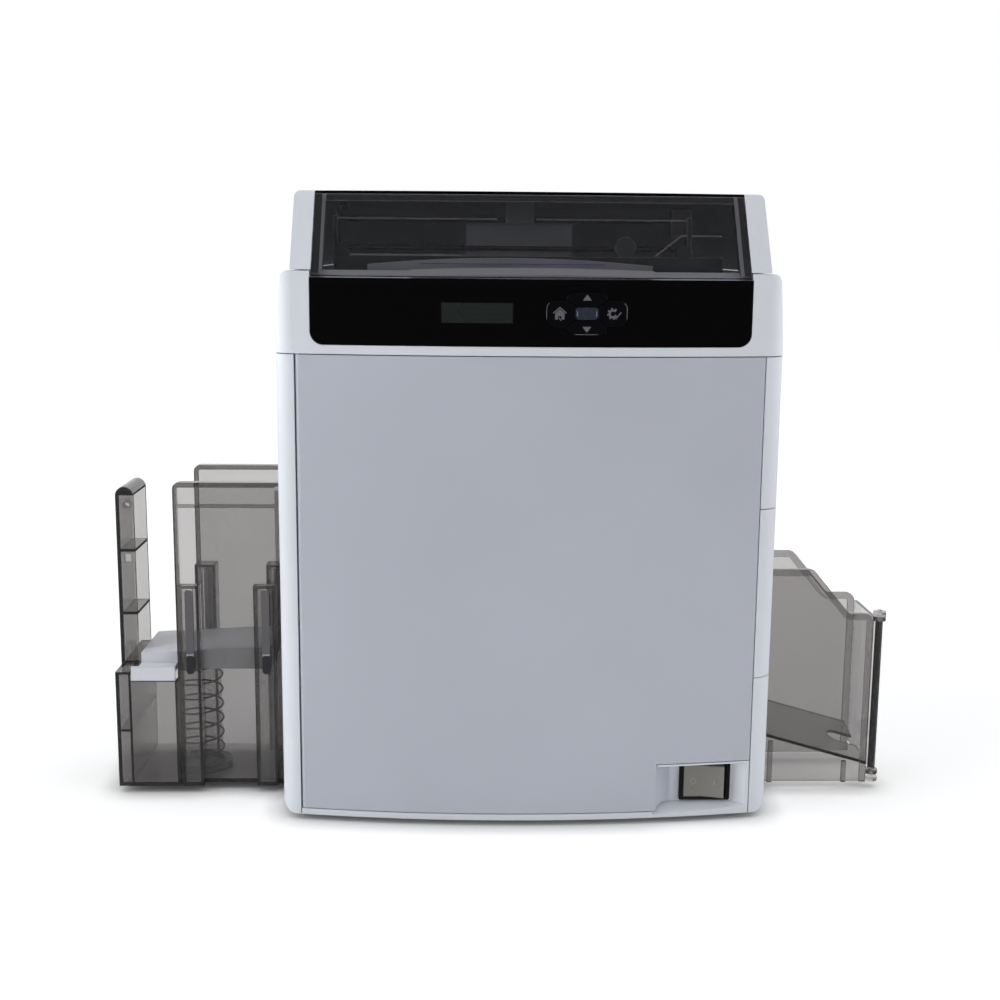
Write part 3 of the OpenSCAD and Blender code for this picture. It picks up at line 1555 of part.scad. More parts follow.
module hopper_shell() {
  color("dimgray", 0.5) at_body() difference() {
    union() {
      // Floor and lower box.
      span(hop_x0, hop_x1, hop_y0, panel_y1, clear_z, clear_z + clear_t);
      span(hop_x1, -half_w, panel_y0, panel_y1, clear_z, clear_z + clear_t);
      span(hop_x0, hop_x0 + clear_t, hop_y0, panel_y1, clear_z, box_z1);
      // Column under the post, with a shelf half way up.
      span(hop_x0, hop_x0 + column_x, hop_y0, hop_y0 + clear_t, clear_z, box_z1);
      span(hop_x0 + column_x - column_t, hop_x0 + column_x, hop_y0 + tiny, panel_y1 - tiny, clear_z, box_z1 - tiny);
      span(hop_x0, hop_x0 + column_x, hop_y0 + tiny, panel_y1 - tiny, column_z, column_z + column_t);
      rod_y(hop_x0 + column_x - 3, clear_z + 3, 2.4, hop_y0 - 0.6, hop_y0 + 1);
      span(hop_x0, hop_x1, hop_y0, hop_y0 + clear_t, clear_z, lip_z0 - lip_gap);
      span(hop_x1 - clear_t, hop_x1, hop_y0, panel_y0 + clear_t, clear_z, lip_z0 - lip_gap);
      span(hop_x0, hop_x0 + post_w + 1, hop_y0 + clear_t - tiny, panel_y1, box_z1 - clear_t, box_z1);
      span(hop_x0, hop_x1, panel_y1 - clear_t, panel_y1, clear_z, box_z1);
      // Tall panels.
      along_y(panel_y0, panel_y0 + clear_t) tall_panel();
      along_y(panel_y1 - clear_t, panel_y1) tall_panel();
      tall_rim(panel_y0 - rim_d, panel_y0 + tiny);
      tall_rim(panel_y1 - tiny, panel_y1 + rim_d);
      span(-half_w - clear_t, -half_w, panel_y0, panel_y1, clear_z, hop_z1 - 6);
      span(hop_x1, -half_w, panel_y0 - strut_d, panel_y0 + tiny, bead_z - bead_t, bead_z);
      for (y = [panel_y0 - strut_d, panel_y1 - tiny])
        span(-half_w - strut_w, -half_w, y, y + strut_d + tiny, clear_z, hop_z1 - 6);
      for (x = guide_xs) {
        lift_guide(x, hop_y0, panel_y0 + tiny);
        lift_guide(x, rear_guide_y, panel_y1 - clear_t + tiny);
      }
      translate([spring_x, card_y, clear_z]) cylinder(r = spring_r + 5, h = clear_t + 4);
    }
    translate([spring_x, card_y, clear_z + clear_t]) cylinder(r = spring_r + 3, h = 10);
    for (x = guide_xs) {
      lift_slot(x, hop_y0 - 1, panel_y0 + clear_t + 1);
      lift_slot(x, rear_guide_y - 1, rear_guide_y + clear_t + 1);
    }
    card_slot(-half_w - clear_t - 1, -half_w + 1);
  }
}

module hopper_post() {
  color("dimgray", 0.5) at_body() difference() {
    union() {
      translate([hop_x0 + post_w / 2, 0, 0]) along_y(post_y0, post_y0 + post_d) {
        translate([-post_w / 2, box_z1]) square([post_w, post_h - post_w / 2]);
        translate([0, post_z1 - post_w / 2]) circle(d = post_w);
      }
      rod_y(eye_x, eye_z, eye_r, post_y0 - 1.2, post_y0 + 1);
    }
    difference() {
      span(hop_x0 + clear_t, hop_x0 + post_w + 1, post_y0 + clear_t, post_y0 + post_d - clear_t,
           box_z1 + clear_t, post_z1 - post_w / 2);
      for (z = shelf_zs) span(hop_x0, hop_x0 + post_w, post_y0, post_y0 + post_d, z - 1, z + 1);
    }
    rod_y(eye_x, eye_z, eye_r - 2, post_y0 - 2, post_y0 + 6);
    span(eye_x - 3, eye_x + 1, post_y0 - 1, post_y0 + clear_t + 1, shelf_zs[1] - 8, shelf_zs[1] - 2);
  }
}

lift_x0 = -half_w - lift_gap - lift_l;
lift_x1 = -half_w - lift_gap;
lift_y0 = card_y - card_half + 0.5;
lift_y1 = card_y + card_half - 0.3;
lift_travel = slot_z1 - 0.4 - lift_z - ear_h;

module lift_platform() {
  color("lightsteelblue") at_body() {
    difference() {
      along_y(lift_y0, lift_y1) polygon([
        [lift_x0, lift_z], [lift_x1, lift_z],
        [lift_x1, lift_z + lift_t + lift_rise], [lift_x0, lift_z + lift_t]
      ]);
      difference() {
        span(lift_x0 + clear_t, lift_x1 - clear_t, lift_y0 + clear_t, lift_y1 - clear_t,
             lift_z - 1, lift_z + lift_t - 2);
        translate([spring_x, card_y, 0]) cylinder(r = spring_r + 2, h = big);
        for (x = [lift_x0 + 62, lift_x0 + 76]) span(x, x + 1.6, lift_y0, lift_y1, 0, big);
      }
    }
    for (x = guide_xs) translate([x, 0, lift_z + ear_h / 2]) {
      along_y(hop_y0 - 0.6, lift_y0 + tiny) slot_2d(slot_w - 0.6, ear_h);
      along_y(lift_y1 - tiny, rear_guide_y + clear_t + 3) slot_2d(slot_w - 0.6, ear_h);
    }
    span(lift_x0, hop_x1 - 1.6, hop_y0 - 1.2, lift_y0 + tiny, lift_z, lift_z + 4);
    span(lift_x0 - 5, hop_x1 - 1.6, hop_y0 - 1.2, hop_y0 + 1, lip_z0, lift_z + 4);
  }
}

module lift_spring() {
  z0 = clear_z + clear_t + 0.2;
  h = lift_z - 0.2 - z0;
  arc_w = 360 * spring_turns * spring_wire / h;
  mean_r = spring_r - spring_wire / 2;
  color("silver") at_body() translate([spring_x, card_y, z0])
    linear_extrude(h, twist = -360 * spring_turns, slices = spring_turns * 16, $fn = 10)
      polygon([
        for (a = [0:36:324])
          let (r = mean_r + spring_wire / 2 * cos(a), b = arc_w / 2 * sin(a)) r * [cos(b), sin(b)]
      ]);
}

// ---- output tray ----

tray_x1 = half_w + tray_reach;
gate_x = tray_x1 - knob_r;
gate_y = panel_y0 + gate_r;
tray_y1 = card_y + card_half + clear_t;
tray_z1 = clear_z + tray_h;
shelf_z = clear_z + tray_end_h;
wall_end = gate_x - knob_r - 0.5;
tray_fall = atan2(shelf_z - tray_z1, tray_step_b - tray_step_a);
tray_rib_d = 2.4;
disc_h = 3;
disc_gap = 0.4;
gate_z0 = clear_z + 2 * disc_h + 2.6;
gate_z1 = shelf_z - 6;

// Height of the sloping floor at the front wall.
function floor_z(x) =
  clear_z + tray_floor_a - (tray_floor_a - tray_floor_b) * (x - half_w) / (gate_x - half_w);

// Rounds the bend at p between directions a0 and a1, for an edge inset by t.
function bend(p, a0, a1, t) =
  let (s = sign(a1 - a0), l = tray_r * tan(abs(a1 - a0) / 2))
  arc(
    p - l * [cos(a0), sin(a0)] + s * tray_r * [-sin(a0), cos(a0)],
    tray_r + s * t, a0 - 90 * s, a1 - 90 * s, 4
  );

// Side wall of the tray seen from the front, inset by t.
module tray_side(x1, t = 0) {
  polygon(concat(
    [[half_w, clear_z], [half_w, tray_z1 - t]],
    bend([half_w + tray_step_a, tray_z1], 0, tray_fall, t),
    bend([half_w + tray_step_b, shelf_z], tray_fall, 0, t),
    bend([x1, shelf_z], 0, -90, t),
    [[x1 - t, clear_z]]
  ));
}

// The wall at y with its rim from rim_y.
module tray_wall(y, rim_y, x1) {
  along_y(y, y + clear_t) tray_side(x1);
  along_y(rim_y, rim_y + tray_rim_d + tiny) difference() {
    tray_side(x1);
    translate([-tiny, -tiny]) tray_side(x1 + tiny, tray_rim);
  }
}

module output_tray() {
  color("dimgray", 0.5) at_body() difference() {
    union() {
      tray_wall(panel_y0, panel_y0 - tray_rim_d, wall_end);
      tray_wall(tray_y1 - clear_t, tray_y1 - tiny, gate_x - 1.5);
      span(half_w, half_w + clear_t, panel_y0, tray_y1, clear_z, tray_z1);
      intersection() {
        translate([0, panel_y0, 0]) rotate([floor_tilt, 0, 0]) along_y(-20, 90) polygon([
          [half_w, clear_z + tray_floor_a], [gate_x, clear_z + tray_floor_b],
          [gate_x, clear_z + tray_floor_b - clear_t], [half_w, clear_z + tray_floor_a - clear_t]
        ]);
        span(half_w, wall_end, panel_y0 + tiny, tray_y1 - tiny, 0, big);
      }
      // Outer ribs under the sloping floor.
      for (x = [half_w + 11, half_w + tray_step_b])
        span(x, x + 3, panel_y0 - tray_rib_d, panel_y0 + tiny, clear_z, floor_z(x + 3) - clear_t);
      for (z = [gate_z0 - disc_gap - disc_h, gate_z1 + disc_gap]) {
        translate([gate_x, gate_y, z]) cylinder(r = knob_r, h = disc_h);
        span(wall_end - 2, gate_x, panel_y0, panel_y0 + clear_t, z, z + disc_h);
      }
    }
    translate([gate_x, gate_y, 0]) cylinder(r = pin_r + pin_fit, h = big);
    translate([gate_x - 12, card_y, 0]) linear_extrude(clear_z + tray_floor_a) rotate(90) slot_2d(15, 26);
    card_slot(half_w - 1, half_w + clear_t + 1);
  }
}

module output_gate() {
  color("dimgray", 0.5) at_body() {
    translate([gate_x, gate_y, 0]) {
      translate([0, 0, gate_z0]) cylinder(r = gate_r, h = gate_z1 - gate_z0);
      translate([0, 0, clear_z]) cylinder(r = pin_r, h = shelf_z + 2 - clear_z);
      for (z = [clear_z, gate_z1 + disc_h + 2 * disc_gap])
        translate([0, 0, z]) cylinder(r = knob_r, h = disc_h);
    }
    span(gate_x - 1, gate_x + 1.2, gate_y, tray_y1, gate_z0, gate_z1);
  }
}

base_tray();
feet();
left_side_cover();
right_side_cover();
exit_side_cover();
lower_side_cover();
rear_cover();
upper_shell();
control_panel();
display_window();
control_board();
home_button();
up_button();
down_button();
menu_button();
select_button();
front_door();
door_pins();
door_catch();
switch_bezel();
power_rocker();
top_cover_frame();
top_cover_window();
cover_liner();
cover_grip();
chassis_plate();
bearing_plate();
roller_bushes();
pick_roller();
feed_roller();
transfer_roller();
pressure_roller();
exit_roller();
platen_roller();
print_head();
ribbon_cassette();
ribbon_supply_spool();
ribbon_takeup_spool();
ribbon_web();
film_cassette();
film_supply_spool();
film_takeup_spool();
film_web();
drive_motor();
motor_pulley();
drive_belt();
spool_motors();
main_board();
power_supply();
fan_housing();
fan_rotor();
power_inlet();
data_ports();
hopper_shell();
hopper_post();
lift_platform();
lift_spring();
output_tray();
output_gate();
case_screws();
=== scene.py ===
"""Dresses the card printer: its finishes, printed marks, slot strips, film guides, lift spring and studio."""

import math

import bmesh
import bpy
import numpy as np
from mathutils import Matrix, Vector
from mathutils.bvhtree import BVHTree


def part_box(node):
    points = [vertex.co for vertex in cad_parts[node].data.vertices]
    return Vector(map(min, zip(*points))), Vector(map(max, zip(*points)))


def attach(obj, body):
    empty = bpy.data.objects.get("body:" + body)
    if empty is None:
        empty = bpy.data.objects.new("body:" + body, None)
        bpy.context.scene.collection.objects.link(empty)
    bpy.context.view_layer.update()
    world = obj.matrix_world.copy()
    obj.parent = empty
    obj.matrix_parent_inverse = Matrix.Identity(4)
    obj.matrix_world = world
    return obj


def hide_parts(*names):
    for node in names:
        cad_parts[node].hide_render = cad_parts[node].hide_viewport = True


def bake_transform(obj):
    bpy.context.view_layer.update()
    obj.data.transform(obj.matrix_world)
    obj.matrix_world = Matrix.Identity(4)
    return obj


bl_info = {
    "name": "Card printer finishes",
    "version": (1, 0, 0),
    "blender": (4, 5, 0),
    "location": "View3D > Sidebar > Card printer",
    "description": "Finishes, printed marks, lift spring and studio of a desktop card printer",
    "category": "Object",
}

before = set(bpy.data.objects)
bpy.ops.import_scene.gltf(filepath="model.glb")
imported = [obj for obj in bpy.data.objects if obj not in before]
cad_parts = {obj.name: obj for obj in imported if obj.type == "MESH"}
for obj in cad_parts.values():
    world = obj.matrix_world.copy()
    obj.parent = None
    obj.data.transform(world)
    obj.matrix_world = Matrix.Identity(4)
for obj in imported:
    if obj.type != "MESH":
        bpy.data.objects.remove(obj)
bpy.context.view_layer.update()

# ---- studio

# Light by direction. A range (from, to, first, last) carries one part of the direction, between its first two
# numbers, to a strength between its last two: x points to the right, y to the back and z up.
TOP_LIGHT = (0.5, 0.9, 0.0, 0.58)
LEFT_BOX = (-0.5, -1.0, 0.0, 4.3)
RIGHT_BOX = (0.5, 1.0, 0.0, 2.7)
SIDE_DEPTH = (-0.3, 0.3, 1.0, 0.35)
MIRROR_DEPTH = (-0.3, 0.7, 0.02, 0.9)
SEEN_TINT = (1, 1, 1)
SOFT_TINT = (0.97, 0.985, 1.0)
MIRROR_TINT = (0.98, 0.99, 1.0)
LIGHT_BOUNCES = 24

# Floor: its tones in the open, in its painted contact shadow near a piece and in a mirror, and how far and
# strongly that painted shadow darkens it.
FLOOR_HALF = 4.0
FLOOR_TONE = (0.85, 0.85, 0.85)
FLOOR_SHADE = (0.55, 0.55, 0.55)
FLOOR_DARK = (0.06, 0.06, 0.065)
FLOOR_ROUGHNESS = 0.8
FLOOR_BOUNCE = 0.22
CONTACT_REACH, CONTACT_POWER, CONTACT_SAMPLES = 0.02, 1.5, 8

SENSOR_WIDTH, CLIP_START = 36.0, 0.01

# ---- what each finish covers

WHITE_NODES = (
    "base_tray", "left_side_cover", "right_side_cover", "exit_side_cover",
    "lower_side_cover", "rear_cover", "upper_shell", "top_cover_frame",
)
TRAY_NODES = ("hopper_post", "output_tray")
BLACK_NODES = ("door_catch", "switch_bezel", "fan_housing", "fan_rotor", "power_inlet")
KEY_NODES = ("home_button", "up_button", "down_button", "menu_button")
PLATE_NODES = ("chassis_plate", "bearing_plate", "power_supply", "data_ports")
STEEL_NODES = ("door_pins", "case_screws", "motor_pulley")
MOTOR_NODES = ("drive_motor", "spool_motors")
BOARD_NODES = ("main_board", "control_board")
RUBBER_ROLLERS = ("pick_roller", "feed_roller", "pressure_roller", "exit_roller", "platen_roller")
RIBBON_SPOOLS = ("ribbon_supply_spool", "ribbon_takeup_spool")
FILM_SPOOLS = ("film_supply_spool", "film_takeup_spool")

# ---- colours

GRIP_GREY = (0.86, 0.85, 0.9)
PLATFORM_WHITE = (0.9, 0.91, 0.97)
PANEL_BLACK = (0.004, 0.0035, 0.004)
KEY_BLACK = (0.005, 0.005, 0.006)
CENTRE_KEY = (0.035, 0.04, 0.06)
SATIN_BLACK = (0.012, 0.012, 0.013)
ROCKER_GREY = (0.3, 0.285, 0.26)
DISPLAY_GREEN = (0.02, 0.027, 0.024)
FOOT_RUBBER = (0.02, 0.02, 0.02)
ROLLER_RUBBER = (0.03, 0.03, 0.033)
SILICONE_RED = (0.3, 0.08, 0.05)
BELT_RUBBER = (0.012, 0.012, 0.012)
ZINC = (0.56, 0.57, 0.58)
STEEL = (0.6, 0.6, 0.62)
BRONZE = (0.36, 0.22, 0.09)
CAST_METAL = (0.42, 0.43, 0.45)
MOTOR_PAINT = (0.03, 0.03, 0.033)
CASSETTE_GREY = (0.3, 0.3, 0.32)
RIBBON_BLUE = (0.05, 0.1, 0.26)
FILM_DUSK = (0.09, 0.075, 0.13)
# The second colours of the dye ribbon and the transfer film are a painted sheen, seen at grazing angles.
DYE_YELLOW, DYE_SHEEN = (0.5, 0.34, 0.04), (0.4, 0.06, 0.2)
FILM_VIOLET, FILM_SHEEN = (0.16, 0.1, 0.36), (0.3, 0.2, 0.65)
# Painted glint along the film's edge.
FILM_EDGE_GLINT = (0.32, 0.24, 0.75)
BOARD_GREEN, PAD_COPPER = (0.012, 0.09, 0.035), (0.6, 0.42, 0.2)
# Painted highlight on the keys' chrome edges.
RIM_HIGHLIGHT = (0.22, 0.22, 0.24)
SWITCH_INK = (0.42, 0.41, 0.38)
ROD_STEEL = (0.75, 0.75, 0.78)
# Near black: paints the dark reflection that the steel coil shows.
SPRING_DARK_REFLECTION = (0.035, 0.035, 0.04)
STRIP_DARK, STRIP_DUSK = (0.045, 0.045, 0.05), (0.17, 0.16, 0.165)
STRIP_GREY, STRIP_PALE = (0.82, 0.85, 0.9), (0.5, 0.5, 0.52)

# Smoked plastic: absorption of the other pieces as a share of the hopper's, and what a shadow lets through.
TRAY_SHARE, GATE_SHARE, WINDOW_SHARE = 1.05, 0.35, 0.8
SHADOW_TONE = (0.8, 0.8, 0.8)

# Colours by place along one axis of the shared frame: the ground colour, then (low, high, colour), in metres
# from the cassette's front and from the liner's left side.
CASSETTE_ZONES = (
    (0.02, 0.02, 0.024),
    (-0.0006, 0.0064, (0.5, 0.5, 0.55)),
    (0.0347, 0.0354, (0.16, 0.16, 0.18)),
    (0.0357, 0.0363, (0.07, 0.07, 0.08)),
    (0.0444, 0.0474, (0.33, 0.33, 0.38)),
)
LINER_ZONES = (
    SATIN_BLACK,
    (0.00475, 0.00725, (0.6, 0.6, 0.63)),
    (0.26525, 0.26775, (0.6, 0.6, 0.63)),
)

# ---- sizes and places, in metres

# Key marks: half the stretch over which a key's front is measured, how far arrows sit from their key's
# middle and how much smaller they are.
MARK_PROBE, ARROW_SHIFT, ARROW_SHARE = 0.003, 0.0012, 0.5

# The key rims and bars are painted highlights along the keys' chrome edges.
# Key rims: their width, how far inside the key's edge they run, how far into a side key its front is
# measured, and how far below its middle a rim starts, as a share of its reach. The down key's front is
# measured between its sides and two heights, and the centre key has a bar at either end.
KEY_CORNER = 0.0055
RIM_W, RIM_INSET, RIM_PROBE, RIM_START = 0.00028, 0.0004, 0.008, 0.45
DOWN_SIDE, DOWN_LOW, DOWN_HIGH = 0.006, 0.002, 0.005
BAR_W, BAR_INSET, BAR_DOWN, BAR_UP, BAR_PROBE = 0.0006, 0.0009, 0.0018, 0.0014, 0.002

# Rocker marks, each at the same distance from the rocker's middle.
SWITCH_SHIFT, SWITCH_PROBE, SWITCH_LINE = 0.0068, 0.0025, 0.0005
RING_RADIUS, SWITCH_BAR_HALF = 0.0017, 0.0018

# Film guides: depths behind the cassette's front, and places from its left side and down from its top.
ROD_DEPTH, ROD_RADIUS = 0.0329, 0.0005
ROD_HIGH, ROD_LOW = 0.0126, 0.0358
GUIDE_RODS = (
    ((0.0012, ROD_HIGH), (0.1052, ROD_HIGH)),
    ((0.1302, ROD_HIGH), (0.2302, ROD_HIGH)),
    ((0.0012, ROD_LOW), (0.0822, ROD_LOW)),
    ((0.2077, 0.0355), (0.2246, 0.0223), (0.2507, 0.0223)),
)
CLAMPS = ((0.0060, 0.0328), (0.2253, 0.0330))
CLAMP_W, CLAMP_H, CLAMP_CORNER, CLAMP_BEVEL = 0.0090, 0.0085, 0.0015, 0.0003
CLAMP_AHEAD, CLAMP_BEHIND = 0.0010, 0.0008
# The film's edge: a thin rod whose violet colour paints the glint along the film.
FILM_EDGE = ((0.0562, 0.0407), (0.1722, 0.0407))
FILM_EDGE_AHEAD, FILM_EDGE_RADIUS = 0.0003, 0.0003

# Slot strips, from the hopper's left side and up from its foot. A pale line splits a front strip, and its
# corners are round by a share of its height.
GUIDE_XS = (0.0513, 0.1023)
STRIP_FOOT, STRIP_SPLIT, STRIP_TOP = 0.0803, 0.0935, 0.1385
STRIP_W, STRIP_T, STRIP_CORNER, STRIP_BEVEL, STRIP_GAP = 0.0052, 0.0005, 0.0018, 0.0001, 0.0001
LINE_HALF, LINE_GAP, LINE_ROUND = 0.0005, 0.0001, 1 / 2.2
REAR_W, REAR_CORNER, REAR_BEVEL, REAR_SEAT = 0.0084, 0.003, 0.0002, 0.0075

# Lift spring: the pitch of its closed end turns, as a share of the wire, and the steps in a turn.
CLOSED_PITCH, COIL_STEPS = 1.05, 40


# ---- settings a user would change


class PrinterFinish(bpy.types.PropertyGroup):
    """Colours and grain of the visible mouldings."""

    white: bpy.props.FloatVectorProperty(
        name="White plastic", description="Colour of the casing mouldings", subtype="COLOR",
        size=3, min=0, max=1, default=(0.84, 0.865, 0.92),
    )
    door: bpy.props.FloatVectorProperty(
        name="Door plastic", description="Colour of the front door", subtype="COLOR",
        size=3, min=0, max=1, default=(0.6, 0.62, 0.695),
    )
    smoke: bpy.props.FloatVectorProperty(
        name="Smoke tint", description="What the smoked plastic lets through of each colour",
        subtype="COLOR", size=3, min=0, max=1, default=(0.11, 0.075, 0.06),
    )
    window: bpy.props.FloatVectorProperty(
        name="Window tint", description="What the cover's window lets through of each colour",
        subtype="COLOR", size=3, min=0, max=1, default=(0.06, 0.07, 0.1),
    )
    smoke_density: bpy.props.FloatProperty(
        name="Smoke density", description="Absorption of the smoked plastic per metre",
        default=300.0, min=0,
    )
    grain: bpy.props.FloatProperty(
        name="Moulding grain", description="Height of the fine grain on the casing", default=0.00003,
        min=0, unit="LENGTH",
    )
    edge: bpy.props.FloatProperty(
        name="Edge radius", description="How far the shading rounds the casing's edges", default=0.0006,
        min=0, unit="LENGTH",
    )


class PrinterMarks(bpy.types.PropertyGroup):
    """The pictograms on the keys and the marks on the rocker."""

    colour: bpy.props.FloatVectorProperty(
        name="Ink", description="Colour of the printed pictograms", subtype="COLOR",
        size=3, min=0, max=1, default=(0.16, 0.155, 0.175),
    )
    height: bpy.props.FloatProperty(
        name="Pictogram height", description="Height of the house and the gear", default=0.0072,
        min=0.001, unit="LENGTH",
    )
    proud: bpy.props.FloatProperty(
        name="Ink thickness", description="How far a printed mark stands proud", default=0.00006,
        min=0, unit="LENGTH",
    )


class PrinterSpring(bpy.types.PropertyGroup):
    """The coil spring under the lift platform."""

    wire: bpy.props.FloatProperty(
        name="Wire", description="Diameter of the spring wire", default=0.0014, min=0.0005, unit="LENGTH",
    )
    turns: bpy.props.IntProperty(name="Turns", description="Turns of the spring", default=9, min=3, max=20)


class PrinterStudio(bpy.types.PropertyGroup):
    """Floor, light and camera."""

    camera: bpy.props.FloatVectorProperty(
        name="Camera place", description="Where the camera stands", subtype="XYZ", size=3, unit="LENGTH",
        default=(-0.03004, -1.03181, 0.36851),
    )
    yaw: bpy.props.FloatProperty(
        name="Camera yaw", description="Turn of the view to the right", default=0.0288, unit="ROTATION",
    )
    pitch: bpy.props.FloatProperty(
        name="Camera pitch", description="Turn of the view downwards", default=0.1757, unit="ROTATION",
    )
    roll: bpy.props.FloatProperty(
        name="Camera roll", description="Roll of the camera to the left", default=0.0085, unit="ROTATION",
    )
    lens: bpy.props.FloatProperty(name="Lens", description="Focal length in millimetres", default=50.4, min=1)
    sky: bpy.props.FloatProperty(
        name="Sky", description="Strength of the dome that mirrors show", default=1.1, min=0,
    )
    floor_glow: bpy.props.FloatProperty(
        name="Floor glow", description="Light that the pale floor gives of itself", default=0.5, min=0,
    )


# ---- node helpers

# A Mix node's sockets for a share and two colours, and for the colour that comes out.
MIX_INPUTS, MIX_OUTPUT = (0, 6, 7), 2


class Nodes:
    """A tree of nodes, with short calls for the patterns that the finishes and the studio share."""

    def __init__(self, tree):
        self.tree = tree
        tree.nodes.clear()

    def add(self, kind, **settings):
        node = self.tree.nodes.new(kind)
        for key, value in settings.items():
            setattr(node, key, value)
        return node

    def join(self, source, socket):
        self.tree.links.new(source, socket)

    def put(self, node, **values):
        """Constants or links on a node's sockets, whose names have _ for a space."""
        for key, value in values.items():
            self.feed(value, node.inputs[key.replace("_", " ")])
        return node

    def feed(self, value, socket):
        """A link if value is a socket, else a constant."""
        if isinstance(value, bpy.types.NodeSocket):
            self.join(value, socket)
        else:
            socket.default_value = value

    def ranged(self, value, low, high, start=0.3, end=0.7, curve="LINEAR"):
        """value carried from start..end to low..high."""
        node = self.put(self.add("ShaderNodeMapRange", interpolation_type=curve), Value=value)
        self.put(node, From_Min=start, From_Max=end, To_Min=low, To_Max=high)
        return node.outputs[0]

    def sums(self, operation, first, second=0.0):
        """Two values or sockets joined by a sum, product, comparison or power."""
        node = self.add("ShaderNodeMath", operation=operation)
        self.feed(first, node.inputs[0])
        self.feed(second, node.inputs[1])
        return node.outputs[0]

    def either(self, share, first, second):
        """The first shader where share is 0, the second where it is 1."""
        node = self.add("ShaderNodeMixShader")
        for source, socket in zip((share, first, second), node.inputs):
            self.join(source, socket)
        return node.outputs[0]

    def mirrored(self, path):
        """1 for a ray off a glossy surface that hasn't come through smoked plastic, else 0."""
        straight = self.sums("SUBTRACT", 1.0, path["Is Transmission Ray"])
        return self.sums("MULTIPLY", path["Is Glossy Ray"], straight)


class Graph(Nodes):
    """One material's nodes."""

    def __init__(self, name):
        self.material = bpy.data.materials.new(name)
        self.material.use_nodes = True
        super().__init__(self.material.node_tree)
        self.output = self.add("ShaderNodeOutputMaterial")
        self.shader = self.add("ShaderNodeBsdfPrincipled")
        self.join(self.shader.outputs[0], self.output.inputs["Surface"])
        self.place = self.add("ShaderNodeTexCoord").outputs["Object"]

    def set(self, **values):
        """Constants or links on the surface shader's own sockets."""
        self.put(self.shader, **values)

    def mapped(self, scale=(1, 1, 1), place=(0, 0, 0), turn=(0, 0, 0)):
        """Object coordinates, moved, turned and stretched."""
        node = self.add("ShaderNodeMapping", vector_type="TEXTURE")
        self.put(node, Location=place, Rotation=turn, Scale=scale)
        self.join(self.place, node.inputs["Vector"])
        return node.outputs[0]

    def noise(self, scale, detail=3.0, roughness=0.5, vector=None):
        """Fractal noise whose cells are 1 / scale metres across."""
        node = self.put(self.add("ShaderNodeTexNoise"), Scale=scale, Detail=detail, Roughness=roughness)
        self.join(vector or self.place, node.inputs["Vector"])
        return node.outputs["Fac"]

    def mix(self, share, first, second):
        """first and second mixed by share; each is a colour or a socket."""
        node = self.add("ShaderNodeMix", data_type="RGBA")
        for index, value in zip(MIX_INPUTS, (share, first, second)):
            self.feed((*value, 1) if isinstance(value, tuple) else value, node.inputs[index])
        return node.outputs[MIX_OUTPUT]

    def rounded(self, radius):
        """The surface's direction, rounded over the edges by radius."""
        return self.put(self.add("ShaderNodeBevel", samples=6), Radius=radius).outputs[0]

    def edges(self, radius, strength):
        """0 on open faces, rising to strength along the edges: how far the rounded direction turns away."""
        node = self.add("ShaderNodeVectorMath", operation="DOT_PRODUCT")
        self.join(self.rounded(radius), node.inputs[0])
        self.join(self.add("ShaderNodeNewGeometry").outputs["Normal"], node.inputs[1])
        return self.ranged(node.outputs["Value"], strength, 0.0, 0.6, 1.0)

    def bump(self, height, distance, strength, normal=None):
        """The surface's direction with height's slopes, laid over normal if one is given."""
        node = self.put(self.add("ShaderNodeBump"), Strength=strength, Distance=distance, Height=height)
        if normal is not None:
            self.join(normal, node.inputs["Normal"])
        return node.outputs[0]


def tone(colour, factor):
    """colour made lighter or darker by factor."""
    return tuple(min(1.0, c * factor) for c in colour)


# ---- finishes

# The radius over which a winding's rings turn by a radian, and the radians that a wave turns in a metre at
# a scale of 1.
WINDING, WAVE_RATE = 0.0006, 20


def moulded(name, colour, grain, edge, roughness=(0.36, 0.5), wear_and_highlight=0.18):
    """Textured moulding: fine grain, slow drift of tone, speckled gloss, and lighter edges that are a painted
    highlight, partly wear.
    """
    g = Graph(name)
    drift = g.ranged(g.noise(6.0, 4.0), 0.0, 1.0)
    base = g.mix(drift, tone(colour, 0.965), tone(colour, 1.03))
    # Lighter edges: a painted highlight, partly wear.
    base = g.mix(g.edges(edge * 1.6, wear_and_highlight), base, tone(colour, 1.35))
    g.set(Base_Color=base, Roughness=g.ranged(g.noise(90.0, 6.0, 0.65), *roughness))
    g.set(Normal=g.bump(g.noise(2400.0, 2.0), grain, 0.7, g.rounded(edge)))
    return g.material


def smoked(name, tint, density, roughness=(0.0, 0.012), haze=0.04):
    """Clear smoked moulding: the tint is in the volume, so walls seen on edge go dark. haze is the part of
    the light that the skin scatters, and a shadow lets an even tone through."""
    g = Graph(name)
    g.set(Base_Color=(1, 1, 1, 1), Transmission_Weight=1.0 - haze, IOR=1.49)
    g.set(Roughness=g.ranged(g.noise(35.0, 5.0, 0.7), *roughness))
    scuffs = g.noise(700.0, 3.0, 0.6, g.mapped(scale=(1, 1, 12)))
    g.set(Normal=g.bump(scuffs, 0.000001, 0.5, g.rounded(0.0005)))
    volume = g.put(g.add("ShaderNodeVolumeAbsorption"), Color=(*tint, 1), Density=density)
    g.join(volume.outputs[0], g.output.inputs["Volume"])
    shadow = g.add("ShaderNodeLightPath").outputs["Is Shadow Ray"]
    clear = g.put(g.add("ShaderNodeBsdfTransparent"), Color=(*SHADOW_TONE, 1))
    g.join(g.either(shadow, g.shader.outputs[0], clear.outputs[0]), g.output.inputs["Surface"])
    return g.material


